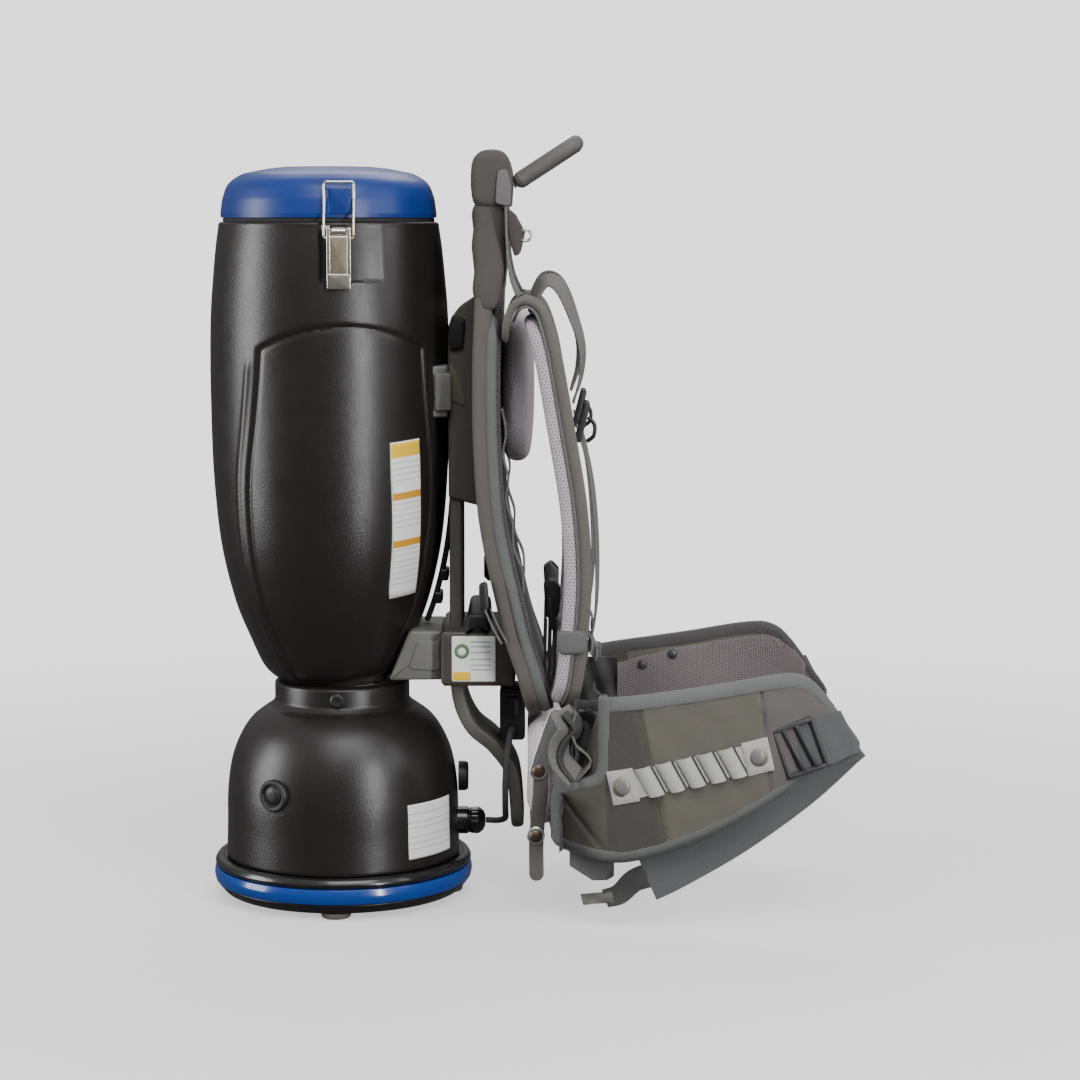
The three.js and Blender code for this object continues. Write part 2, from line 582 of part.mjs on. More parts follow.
// ---- harness back ----
const PANEL_ROUTE = [
  [PANEL_TOP_X, PANEL_TOP_Z], [PANEL_TOP_X - 1, 556], [130, 520], [128, 470], [128, 415], [131, 357], [136, 320], [146, 274],
  [154, 240], [164, 210], [174, 172],
];
const panelSlab = (grow) => band(
  PANEL_ROUTE, PANEL_THICKNESS + 2 * grow, 20, -PANEL_WIDTH / 2 - grow, PANEL_WIDTH / 2 + grow);

function pill(x0, x1, z0, z1) {
  const radius = (x1 - x0) / 2;
  const middle = (x0 + x1) / 2;
  const arc = (z, from) => [0, 1, 2, 3, 4, 5, 6].map((i) => {
    const angle = from + Math.PI * i / 6;
    return [middle + radius * Math.cos(angle), z + radius * Math.sin(angle)];
  });
  return [...arc(z1 - radius, 0), ...arc(z0 + radius, Math.PI)];
}

function buildBack() {
  const half = PANEL_WIDTH / 2;
  addPart("back_panel", band(PANEL_ROUTE, PANEL_THICKNESS, 20, -half, half, 5), GREY_FABRIC);
  addPart("top_pad", prism(
    pill(HEAD_REAR_X, HEAD_REAR_X + HEAD_DEPTH, PANEL_TOP_Z + 0.5 + FIT, HEAD_TOP_Z),
    -HEAD_HALF_WIDTH, HEAD_HALF_WIDTH, 8), DARK_FABRIC);
  const gusset = [
    [SPINE_X + SPINE_THICKNESS / 2 + FIT, SPINE_TOP_Z - 3], [GUSSET_FRONT_X, 505], [GUSSET_FRONT_X, 360],
    [SPINE_X + SPINE_THICKNESS / 2 + FIT, 350],
  ];
  addPart("spine_gusset", cut(prism(gusset, -SPINE_WIDTH / 2, SPINE_WIDTH / 2), panelSlab(FIT)), DARK_FABRIC);
  addPart("upper_back_pad", cut(
    prism(pill(140, 168, 378, 516), -UPPER_PAD_HALF_WIDTH, UPPER_PAD_HALF_WIDTH, 7), panelSlab(FIT)), PALE_MESH);
  addPart("lumbar_pad", prism(
    pill(LUMBAR_REAR_X, LUMBAR_REAR_X + 25, 72, 171), -LUMBAR_HALF_WIDTH, LUMBAR_HALF_WIDTH, 3), PALE_MESH);
}

// ---- shoulder straps and their webbing ----
const STRAP_ROUTE = [
  [165, 516], [174, 490], [182, 456], [191, 410], [200, 355], [204, 304], [203, 262], [197, 204],
];

function buildStraps() {
  const edges = (side, width, y = STRAP_Y) => [side * (y - width / 2), side * (y + width / 2)];
  addPair("shoulder_strap", GREY_FABRIC, (side) => cut(band(
    STRAP_ROUTE, STRAP_THICKNESS, 22, ...edges(side, STRAP_WIDTH), 4), panelSlab(FIT)));
  addPair("strap_webbing", WEBBING, (side) => band(
    [[203.5, 418], [212, 392], [218, 355], [221, 304], [219.5, 258], [212, 224]],
    WEBBING_THICKNESS, 10, ...edges(side, STRAP_WEBBING_WIDTH)));
  addPair("lifter_webbing", WEBBING, (side) => band(
    [[PANEL_FRONT_X + 1.4, 598], [PANEL_FRONT_X + 2.5, 565], [PANEL_FRONT_X + 7.5, 536], [163, 518.5],
      [177, 537], [190, 532], [201, 507], [208, 482], [207, 458], [200.5, 436]],
    WEBBING_THICKNESS, 26, ...edges(side, STRAP_WEBBING_WIDTH)));
}

function buildHandle() {
  const half = HANDLE_HALF_WIDTH;
  const reach = HANDLE_REACH;
  const at = (along, y) => [
    HANDLE_START_X + along * Math.cos(HANDLE_LIFT), y, HANDLE_Z + along * Math.sin(HANDLE_LIFT)];
  const route = [
    at(0, -half), at(reach * 0.3, -half), at(reach * 0.65, -half + 1), at(reach * 0.92, -half + 10),
    at(reach, -half + 24), at(reach, 0), at(reach, half - 24), at(reach * 0.92, half - 10),
    at(reach * 0.65, half - 1), at(reach * 0.3, half), at(0, half),
  ];
  addPart("carry_handle", rod(route, HANDLE_RADIUS, 8, 30), DARK_FABRIC);
}

// ---- hip belt ----
// How far the belt's wing lies inside its widest line at x.
function beltInset(x) {
  const rear = Math.max(0, 1 - (x - BELT_REAR_X) / 74);
  const tip = Math.max(0, (x - 330) / (BELT_TIP_X - 330));
  return BELT_REAR_INSET * rear * rear + BELT_TIP_INSET * tip * tip;
}

// A flat strip that follows a smooth line in X and Z and lies along the wing's curved face.
function wingStrip(side, points, width, near, far, count) {
  const curve = new THREE.SplineCurve(points.map(([x, z]) => new THREE.Vector2(x, z)));
  const sections = [];
  for (let i = 0; i <= count; i += 1) {
    const middle = curve.getPoint(i / count);
    const along = curve.getTangent(i / count);
    const corners = [[-1, near], [-1, far], [1, far], [1, near]];
    sections.push(corners.map(([edge, depth]) => {
      const x = middle.x + edge * along.y * width / 2;
      const z = middle.y - edge * along.x * width / 2;
      return [x, side * (depth - beltInset(x)), z];
    }));
  }
  return loft(sections);
}

// Height of a smooth edge line at x, by straight steps between its points.
function edgeHeight(points, x) {
  const after = Math.max(1, points.findIndex(([px]) => px >= x));
  const [x0, z0] = points[after - 1];
  const [x1, z1] = points[after];
  return z0 + (z1 - z0) * (x - x0) / (x1 - x0);
}

// One wing, lofted along X from eight-sided sections that follow the belt's curve.
function wing(side) {
  const top = smooth([[BELT_REAR_X, 200], [222, 197], [303, 207], [365, 217], [388, 216], [404, 204],
    [424, 177], [BELT_TIP_X, 158]], 40);
  const low = smooth([[BELT_REAR_X, 66], [238, 61], [303, 80], [369, 116], [397, 138], [BELT_TIP_X, 148]], 40);
  const rim = 4;
  const count = 22;
  const sections = [];
  for (let i = 0; i <= count; i += 1) {
    const x = BELT_REAR_X + (BELT_TIP_X - BELT_REAR_X) * i / count;
    const [a, b] = [edgeHeight(low, x), edgeHeight(top, x)];
    const outer = BELT_Y - beltInset(x);
    const inner = outer - BELT_THICKNESS;
    const corners = [[inner, a + rim], [inner + rim, a], [outer - rim, a], [outer, a + rim],
      [outer, b - rim], [outer - rim, b], [inner + rim, b], [inner, b - rim]];
    sections.push(corners.map(([y, z]) => [x, side * y, z]));
  }
  return loft(sections);
}

// Ends of a straight line through a middle point, at the rack's tilt.
function tiltedLine(x, z, length, tilt) {
  const [dx, dz] = [Math.cos(tilt) * length / 2, Math.sin(tilt) * length / 2];
  return [[x - dx, z - dz], [x, z], [x + dx, z + dz]];
}

function buildBelt() {
  addPair("hip_wing", GREY_FABRIC, wing);
  const outside = BELT_Y + FIT;
  const inside = BELT_Y - BELT_THICKNESS - FIT;
  const rack = tiltedLine(RACK_X, RACK_Z, RACK_LENGTH, RACK_TILT);
  addPair("tool_rack", GREY_PLASTIC, (side) => wingStrip(
    side, rack, RACK_HEIGHT, outside, outside + RACK_THICKNESS, 12));
  const slider = tiltedLine(SLIDER_X, SLIDER_Z, SLIDER_LENGTH, SLIDER_TILT);
  addPair("belt_slider", GLOSS_BLACK, (side) => wingStrip(
    side, slider, SLIDER_HEIGHT, outside, outside + SLIDER_THICKNESS, 6));
  const free = [[422, 150], [395, 124], [345, 96], [300, 70], [264, 48]];
  const tail = [[270, 50], [240, 37], [210, 24]];
  addPair("belt_webbing", WEBBING, (side) => join(
    wingStrip(side, free, BELT_WEBBING_WIDTH, inside - WEBBING_THICKNESS, inside, 14),
    wingStrip(side, tail, BELT_WEBBING_WIDTH / 2, inside - WEBBING_THICKNESS, inside, 5)));
  addPair("hip_strut", ALUMINIUM, (side) => prism(
    bandOutline([[174, 140], [173, 110], [170, 70], [170, 40]], 12, 8),
    side * (LUMBAR_HALF_WIDTH + FIT), side * (LUMBAR_HALF_WIDTH + 4)));
}

// ---- switch box and its lead ----
// The rocker is drawn flat with its hinge at the origin, then stood up on the box's right-hand face.
function standOnRightFace(geometry) {
  const turn = new THREE.Matrix4().makeBasis(
    new THREE.Vector3(0, 0, 1), new THREE.Vector3(-1, 0, 0), new THREE.Vector3(0, -1, 0));
  return geometry.applyMatrix4(turn).translate(ROCKER_X, -SWITCH_HALF_WIDTH + ROCKER_DEPTH, ROCKER_Z);
}

function buildSwitch() {
  const half = ROCKER_LENGTH / 2;
  const pocket = standOnRightFace(block(
    -half - RUN, half + RUN, -ROCKER_WIDTH / 2 - RUN, ROCKER_WIDTH / 2 + RUN, -RUN - 1, ROCKER_DEPTH + 2));
  addPart("switch_box", cut(
    block(SWITCH_REAR_X, SWITCH_FRONT_X, -SWITCH_HALF_WIDTH, SWITCH_HALF_WIDTH, SWITCH_LOW_Z, SWITCH_TOP_Z),
    spineSlab(FIT), panelSlab(FIT), pocket), GLOSS_BLACK);
  const rocker = prism([
    [-half, ROCKER_DEPTH - 1], [-2, -RUN], [2, -RUN], [half, ROCKER_DEPTH - 1], [half, ROCKER_DEPTH + 2.5],
    [0, ROCKER_DEPTH + 0.8], [-half, ROCKER_DEPTH + 2.5],
  ], -ROCKER_WIDTH / 2, ROCKER_WIDTH / 2);
  addPart("switch_rocker", standOnRightFace(rocker.rotateY(ROCKER_TILT)), DARK_RUBBER);
}

// The free lead leaves the gland, passes beside the spine plate and rises into the switch box's side.
function buildLead() {
  addPart("power_lead", rod([
    [GLAND_TIP_X + FIT, 0, GLAND_Z], [128.5, 0, GLAND_Z], [132, -1, GLAND_Z], [137, -5, 64], [141.5, -13, 67], [143, -23, 71.5],
    [143, -33, 78.5], [143, -40.5, 89], [143, -43.5, 101], [143.5, -44, 114], [144.5, -42.5, 127],
    [146, -38, 138.5], [147.5, -30.5, 146], [148.5, -24, 148.5], [148.5, -20 - FIT, 148.5],
  ], LEAD_RADIUS, 8, 26), DARK_RUBBER);
}

buildFeet();
buildBase();
buildHousing();
buildHousingFittings();
buildMotor();
buildHopper();
buildLid();
buildLatches();
buildBrackets();
buildBack();
buildStraps();
buildHandle();
buildBelt();
buildSwitch();
buildLead();

export default object;
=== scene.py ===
"""Backpack vacuum cleaner: the visible pieces, finishes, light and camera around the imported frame.

Lengths are millimetres from the canister's upright axis (x towards the wearer, y to the wearer's left,
z up from the floor) until build() turns them into metres in the frame.
"""
import math

import bpy
import numpy as np
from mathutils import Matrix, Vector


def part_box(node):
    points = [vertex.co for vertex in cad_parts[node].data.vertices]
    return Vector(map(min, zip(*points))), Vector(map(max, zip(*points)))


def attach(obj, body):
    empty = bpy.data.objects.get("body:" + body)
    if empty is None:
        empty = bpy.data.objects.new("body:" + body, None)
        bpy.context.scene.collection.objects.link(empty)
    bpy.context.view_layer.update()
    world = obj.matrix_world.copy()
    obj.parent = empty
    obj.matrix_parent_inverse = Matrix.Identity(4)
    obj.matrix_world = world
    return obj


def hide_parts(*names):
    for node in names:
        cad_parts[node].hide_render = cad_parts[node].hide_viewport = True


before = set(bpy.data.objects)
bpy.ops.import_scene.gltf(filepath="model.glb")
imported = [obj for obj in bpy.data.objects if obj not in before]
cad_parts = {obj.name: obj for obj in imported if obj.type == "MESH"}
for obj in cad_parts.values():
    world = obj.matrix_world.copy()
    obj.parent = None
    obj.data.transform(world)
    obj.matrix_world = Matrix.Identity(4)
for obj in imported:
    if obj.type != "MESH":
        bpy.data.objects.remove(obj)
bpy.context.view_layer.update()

MM = 0.001
RIGHT, LEFT = -1, 1
SIDES = (("right", RIGHT), ("left", LEFT))


def node_mm(node):
    """The lowest and highest corner of a CAD node in canister millimetres."""
    low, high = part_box(node)
    shift = np.array([AXIS_X, 0, 0])
    return (np.array(low) - shift) / MM, (np.array(high) - shift) / MM


AXIS_X = sum(corner.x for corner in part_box("motor_housing")) / 2

# ---- heights and radii taken from the frame ----
COVER_LOW = node_mm("bottom_cover")[0][2]
BAND_LOW, BAND_HIGH = (corner[2] for corner in node_mm("blue_band"))
FLANGE_LOW, FLANGE_HIGH = (corner[2] for corner in node_mm("base_flange"))
HOUSING_LOW, HOUSING_HIGH = (corner[2] for corner in node_mm("motor_housing"))
HOPPER_LOW, RIM = (corner[2] for corner in node_mm("body_shell"))
LID_LOW, LID_TOP = (corner[2] for corner in node_mm("lid"))
BASE_RADIUS = node_mm("blue_band")[1][0]
BELL_RADIUS = node_mm("motor_housing")[1][0]
HOPPER_RADIUS = (node_mm("body_shell")[1][1] - node_mm("body_shell")[0][1]) / 2
HOPPER_X = node_mm("body_shell")[0][0] + HOPPER_RADIUS
LID_X = sum(corner[0] for corner in node_mm("lid_gasket")) / 2
LID_RADIUS = (node_mm("lid")[1][0] - node_mm("lid")[0][0]) / 2
RIM_RADIUS = (node_mm("lid_gasket")[1][0] - node_mm("lid_gasket")[0][0]) / 2 + 1.5
NECK_HEIGHT = 22
NECK_RADIUS = 58.7
NECK_LOW = HOUSING_HIGH - NECK_HEIGHT


# =============================== camera and light ===============================

CAMERA_X = 173
CAMERA_DISTANCE = 2280
CAMERA_HEIGHT = 581
CAMERA_TILT = math.radians(6.75)
CAMERA_LENS = 88.0


def make_camera():
    """A level-mounted camera beside the object, tilted down a little."""
    data = bpy.data.cameras.new("camera")
    data.lens = CAMERA_LENS
    data.sensor_width = 36
    camera = bpy.data.objects.new("camera", data)
    camera.location = (AXIS_X + CAMERA_X * MM, -CAMERA_DISTANCE * MM, CAMERA_HEIGHT * MM)
    camera.rotation_euler = (math.pi / 2 - CAMERA_TILT, 0, 0)
    bpy.context.scene.collection.objects.link(camera)
    bpy.context.scene.camera = camera


def area_light(name, place, target, size, power, colour=(1, 1, 1)):
    """A soft rectangular light at place, facing target."""
    data = bpy.data.lights.new(name, "AREA")
    data.shape = "RECTANGLE"
    data.size, data.size_y = size
    data.energy = power
    data.color = colour
    lamp = bpy.data.objects.new(name, data)
    lamp.location = place
    away = np.array(place) - np.array(target)
    lamp.rotation_euler = (math.acos(away[2] / np.linalg.norm(away)), 0, math.atan2(away[0], -away[1]))
    bpy.context.scene.collection.objects.link(lamp)


def make_light():
    """A narrow strip for the crisp highlight, a broad side panel and soft light from above."""
    area_light("strip", (1.05, -1.72, 0.5), (-0.17, 0, 0.35), (0.16, 1.5), 34)
    area_light("side", (-2.3, -0.45, 0.55), (-0.17, 0, 0.33), (0.9, 1.5), 44)
    area_light("front_top", (0.25, -1.75, 2.3), (0.05, 0, 0.3), (1.8, 1.2), 40)
    area_light("back_top", (0.1, 1.5, 2.2), (0.05, 0, 0.3), (1.8, 1.2), 28)
    area_light("harness", (2.2, -0.9, 1.3), (0.15, 0, 0.3), (1.0, 1.2), 12)


HORIZON_LIGHT = 0.12
ZENITH_LIGHT = 0.75
BACKDROP_LIGHT = 1.9
FLOOR_HALF = 9.0
PAPER_EDGE, PAPER_END = 0.35, 1.5
LEAST_GLOW = 0.35


def make_world():
    """A backdrop that looks evenly bright, and whose own light is dim at the horizon and bright overhead."""
    world = bpy.data.worlds.new("world")
    world.use_nodes = True
    tree = world.node_tree
    background = tree.nodes["Background"]
    background.inputs["Color"].default_value = (1, 1, 1, 1)
    coords = tree.nodes.new("ShaderNodeTexCoord")
    parts = tree.nodes.new("ShaderNodeSeparateXYZ")
    height = tree.nodes.new("ShaderNodeMapRange")
    seen = tree.nodes.new("ShaderNodeLightPath")
    choose = tree.nodes.new("ShaderNodeMix")
    height.inputs["To Min"].default_value = HORIZON_LIGHT
    height.inputs["To Max"].default_value = ZENITH_LIGHT
    choose.inputs["B"].default_value = BACKDROP_LIGHT
    tree.links.new(coords.outputs["Generated"], parts.inputs[0])
    tree.links.new(parts.outputs["Z"], height.inputs["Value"])
    tree.links.new(height.outputs["Result"], choose.inputs["A"])
    tree.links.new(seen.outputs["Is Camera Ray"], choose.inputs["Factor"])
    tree.links.new(choose.outputs["Result"], background.inputs["Strength"])
    bpy.context.scene.world = world


def make_floor():
    """A wide pale floor: paper near the object, melting into the backdrop's brightness further out."""
    mesh = bpy.data.meshes.new("floor")
    corners = [(x * FLOOR_HALF, y * FLOOR_HALF, 0) for x, y in ((-1, -1), (1, -1), (1, 1), (-1, 1))]
    mesh.from_pydata(corners, [], [(0, 1, 2, 3)])
    floor = bpy.data.objects.new("floor", mesh)
    bpy.context.scene.collection.objects.link(floor)
    paper = Finish("pale floor", (0.8, 0.8, 0.8), 0.9)
    spot = paper.mapped(paper.object, (1, 1, 0))
    distance = paper.tree.nodes.new("ShaderNodeVectorMath")
    distance.operation = "LENGTH"
    paper.link(spot, distance.inputs[0])
    fade = paper.tree.nodes.new("ShaderNodeMapRange")
    fade.interpolation_type = "SMOOTHSTEP"
    fade.inputs["From Min"].default_value = PAPER_EDGE
    fade.inputs["From Max"].default_value = PAPER_END
    fade.inputs["To Min"].default_value = LEAST_GLOW
    paper.link(distance.outputs["Value"], fade.inputs["Value"])
    glow = paper.tree.nodes.new("ShaderNodeEmission")
    glow.inputs["Strength"].default_value = BACKDROP_LIGHT
    blend = paper.tree.nodes.new("ShaderNodeMixShader")
    paper.link(fade.outputs["Result"], blend.inputs["Fac"])
    paper.link(paper.shader.outputs[0], blend.inputs[1])
    paper.link(glow.outputs[0], blend.inputs[2])
    paper.link(blend.outputs[0], paper.tree.nodes["Material Output"].inputs["Surface"])
    mesh.materials.append(paper.material)
    floor.visible_glossy = False
    floor.visible_diffuse = False


# =============================== mesh tools ===============================

def spline(points, count):
    """A smooth line through points: uniform Catmull-Rom, then spaced evenly by its own length."""
    p = np.asarray(points, float)
    ends = np.vstack([2 * p[0] - p[1], p, 2 * p[-1] - p[-2]])
    t = np.linspace(0, len(p) - 1, 24 * (len(p) - 1) + 1)
    i = np.minimum(t.astype(int), len(p) - 2)
    f = (t - i)[:, None]
    a, b, c, d = ends[i], ends[i + 1], ends[i + 2], ends[i + 3]
    square, cube = 2 * a - 5 * b + 4 * c - d, 3 * b - a - 3 * c + d
    dense = 0.5 * (2 * b + (c - a) * f + square * f**2 + cube * f**3)
    length = np.concatenate([[0], np.cumsum(np.linalg.norm(np.diff(dense, axis=0), axis=1))])
    even = np.linspace(0, length[-1], count)
    return np.stack([np.interp(even, length, dense[:, k]) for k in range(p.shape[1])], -1)


def fillet(corners, radii, steps=6, closed=True):
    """A line through corners whose bends are arcs: each arc starts radius * tan(half turn) before it."""
    p = np.asarray(corners, float)
    n = len(p)
    radii = np.broadcast_to(radii, n)
    line = []
    for k in range(n):
        if radii[k] <= 0 or (not closed and k in (0, n - 1)):
            line.append(p[k][None])
            continue
        into, out = p[k - 1] - p[k], p[(k + 1) % n] - p[k]
        reach_in, reach_out = np.linalg.norm(into), np.linalg.norm(out)
        into, out = into / reach_in, out / reach_out
        half = math.acos(np.clip(into @ out, -1, 1)) / 2
        back = min(radii[k] / math.tan(half), 0.49 * reach_in, 0.49 * reach_out)
        t = np.linspace(0, 1, steps)[:, None]
        start, end = p[k] + into * back, p[k] + out * back
        weight = math.sin(half)
        blend = (1 - t)**2 + 2 * weight * t * (1 - t) + t**2
        line.append(((1 - t)**2 * start + 2 * weight * t * (1 - t) * p[k] + t**2 * end) / blend)
    return np.vstack(line)


def normals_2d(line, closed=True):
    """Unit normals of a line in a plane, a quarter turn clockwise from its direction."""
    if closed:
        along = np.roll(line, -1, 0) - np.roll(line, 1, 0)
    else:
        along = np.gradient(line, axis=0)
    along /= np.maximum(np.linalg.norm(along, axis=1, keepdims=True), 1e-9)
    return np.stack([along[:, 1], -along[:, 0]], -1)


def lengths(line):
    """Running length of a line of points."""
    return np.concatenate([[0], np.cumsum(np.linalg.norm(np.diff(line, axis=0), axis=1))])


class Body:
    """Collects closed shells and turns them into one mesh object."""

    def __init__(self):
        self.points, self.faces, self.uvs, self.slots = [], [], [], []
        self.count = 0

    def shell(self, rows, wrap_rows=False, slot=0):
        """A grid of points [row, column, xyz], closed round its columns.

        Without wrap_rows the first and last row are closed by a fan to their middle. The texture
        map holds millimetres along the rows and round the columns. The faces are turned outwards by
        the sign of the shell's volume, the sum of a . (b x c) over its triangles.
        """
        rows = np.asarray(rows, float)
        n, m = rows.shape[:2]
        points = rows.reshape(-1, 3)
        r = np.arange(n if wrap_rows else n - 1)[:, None]
        c = np.arange(m)[None, :]
        r2, c2 = (r + 1) % n, (c + 1) % m
        quads = np.stack([r * m + c, r * m + c2, r2 * m + c2, r2 * m + c], -1).reshape(-1, 4)
        u = lengths(np.vstack([rows[:, m // 4], rows[:1, m // 4]]))
        v = lengths(np.vstack([rows[n // 2], rows[n // 2][:1]]))
        rr, cc = np.broadcast_arrays(r, c)
        uv = np.stack([np.stack([u[rr], v[cc]], -1), np.stack([u[rr], v[cc + 1]], -1),
                       np.stack([u[rr + 1], v[cc + 1]], -1), np.stack([u[rr + 1], v[cc]], -1)], 2)
        faces = [quads]
        uvs = [uv.reshape(-1, 4, 2)]
        if not wrap_rows:
            middle = np.stack([rows[0].mean(0), rows[-1].mean(0)])
            points = np.vstack([points, middle])
            c = np.arange(m)
            fans = [np.stack([(c + 1) % m, c, np.full(m, n * m)], -1),
                    np.stack([(n - 1) * m + c, (n - 1) * m + (c + 1) % m, np.full(m, n * m + 1)], -1)]
            faces += fans
            uvs += [np.stack([np.zeros((m, 3)), v[np.stack([c, c, c], -1)]], -1) for _ in fans]
        volume = 0
        for group in faces:
            for k in range(1, group.shape[1] - 1):
                a, b, d = points[group[:, 0]], points[group[:, k]], points[group[:, k + 1]]
                volume += np.einsum("ij,ij->", a, np.cross(b, d))
        if volume < 0:
            faces = [group[:, ::-1] for group in faces]
            uvs = [group[:, ::-1] for group in uvs]
        self.points.append(points)
        self.faces += [group + self.count for group in faces]
        self.uvs += uvs
        columns = np.broadcast_to(slot, m)
        self.slots += [np.resize(columns, len(group)) for group in faces]
        self.count += len(points)
        return self

    def build(self, name, materials, body="root", slot=None, replaces=()):
        """Writes the mesh in metres, with its finishes, and puts it on its body."""
        mesh = bpy.data.meshes.new(name)
        points = np.vstack(self.points) * MM + np.array([AXIS_X, 0, 0])
        sizes = np.concatenate([np.full(len(group), group.shape[1]) for group in self.faces])
        corners = np.concatenate([group.ravel() for group in self.faces])
        mesh.vertices.add(len(points))
        mesh.vertices.foreach_set("co", points.ravel())
        mesh.loops.add(len(corners))
        mesh.loops.foreach_set("vertex_index", corners.astype(np.int32))
        mesh.polygons.add(len(sizes))
        mesh.polygons.foreach_set("loop_start", (np.cumsum(sizes) - sizes).astype(np.int32))
        mesh.polygons.foreach_set("material_index", np.concatenate(self.slots).astype(np.int32))
        mesh.polygons.foreach_set("use_smooth", np.ones(len(sizes), bool))
        layer = mesh.uv_layers.new(name="surface")
        layer.data.foreach_set("uv", np.concatenate([g.reshape(-1) for g in self.uvs]) * MM)
        for material in materials if isinstance(materials, (list, tuple)) else [materials]:
            mesh.materials.append(material)
        mesh.update()
        mesh.validate()
        thing = bpy.data.objects.new(name, mesh)
        bpy.context.scene.collection.objects.link(thing)
        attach(thing, body)
        if replaces:
            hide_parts(*replaces)
        return thing


def crease(thing, degrees=35):
    """Keeps bends sharper than an angle crisp in the shading."""
    thing.data.set_sharp_from_angle(angle=math.radians(degrees))
    return thing


def turned_rows(profile, x=0.0, y=0.0, sides=144):
    """Rows of a solid of revolution: profile (radius, z) carried round the upright line at x, y."""
    profile = np.asarray(profile, float)
    a = np.linspace(0, 2 * np.pi, sides, endpoint=False)
    r, z = profile[:, :1], profile[:, 1:]
    return np.stack([x + r * np.cos(a), y + r * np.sin(a), z + 0 * a], -1)


def facing(rows, angle, start, z):
    """Lays a turned piece on its side, its axis pointing outwards at an angle from +x."""
    along, across, up = rows[..., 2], rows[..., 0], rows[..., 1]
    out = np.array([math.cos(angle), math.sin(angle), 0])
    flat = np.array([-math.sin(angle), math.cos(angle), 0])
    place = np.array([0, 0, z])
    return ((start + along)[..., None] * out + across[..., None] * flat
            + up[..., None] * np.array([0, 0, 1]) + place)


def prism_rows(outline, y0, y1, rim=1.0, steps=4):
    """A side outline (x, z) carried from y0 to y1, its edges rounded by quarter circles of radius rim."""
    outline = np.asarray(outline, float)
    area = np.sum(outline[:, 0] * np.roll(outline[:, 1], -1) - np.roll(outline[:, 0], -1) * outline[:, 1])
    outward = normals_2d(outline) * (1 if area > 0 else -1)
    turn = np.linspace(0, np.pi / 2, steps)
    inset = np.concatenate([rim * (1 - np.sin(turn)), rim * (1 - np.sin(turn[::-1]))])
    y0, y1 = min(y0, y1), max(y0, y1)
    y = np.concatenate([y0 + rim * (1 - np.cos(turn)), y1 - rim * (1 - np.cos(turn[::-1]))])
    flat = outline[None] - inset[:, None, None] * outward[None]
    return np.stack([flat[..., 0], np.broadcast_to(y[:, None], flat.shape[:2]), flat[..., 1]], -1)


def ribbon_rows(middle, across, through, sections):
    """Rows of a section carried along a line: middle + a * across + b * through for each point (a, b)."""
    sections = np.broadcast_to(sections, (len(middle),) + np.asarray(sections).shape[-2:])
    return (middle[:, None] + sections[..., :1] * across[:, None] + sections[..., 1:] * through[:, None])


def loop_shares(flat_points=7, steps=5):
    """A closed rounded rectangle as shares: (face, corner cosine, face, corner sine) for each point."""
    rows = []
    for across, through, start in ((1, -1, -90), (1, 1, 0), (-1, 1, 90), (-1, -1, 180)):
        turn = np.radians(np.linspace(start, start + 90, steps))
        one = np.ones(steps)
        rows.append(np.stack([across * one, np.cos(turn), through * one, np.sin(turn)], -1))
        if start in (0, 180):
            along = np.linspace(across, -across, flat_points + 2)[1:-1]
            one = np.ones(flat_points) * through
            rows.append(np.stack([along, 0 * along, one, one], -1))
    return np.vstack(rows)


def loops(shares, width, thickness, radius):
    """Rounded rectangles of any width, thickness and corner radius, one for each row, from their shares."""
    width, thickness, radius = (np.asarray(v, float).reshape(-1, 1) for v in (width, thickness, radius))
    radius = np.minimum(radius, 0.499 * np.minimum(width, thickness))
    a = shares[:, 0] * (width / 2 - radius) + shares[:, 1] * radius
    b = shares[:, 2] * (thickness / 2 - radius) + shares[:, 3] * radius
    return np.stack(np.broadcast_arrays(a, b), -1)


def end_spots(length, tip, count, tip_count=9):
    """Places along a strip, crowded towards its two ends as a circle's points are."""
    start = tip * (1 - np.cos(np.linspace(0, np.pi / 2, tip_count)))
    return np.concatenate([start, np.linspace(tip, length - tip, count)[1:-1], length - start[::-1]])


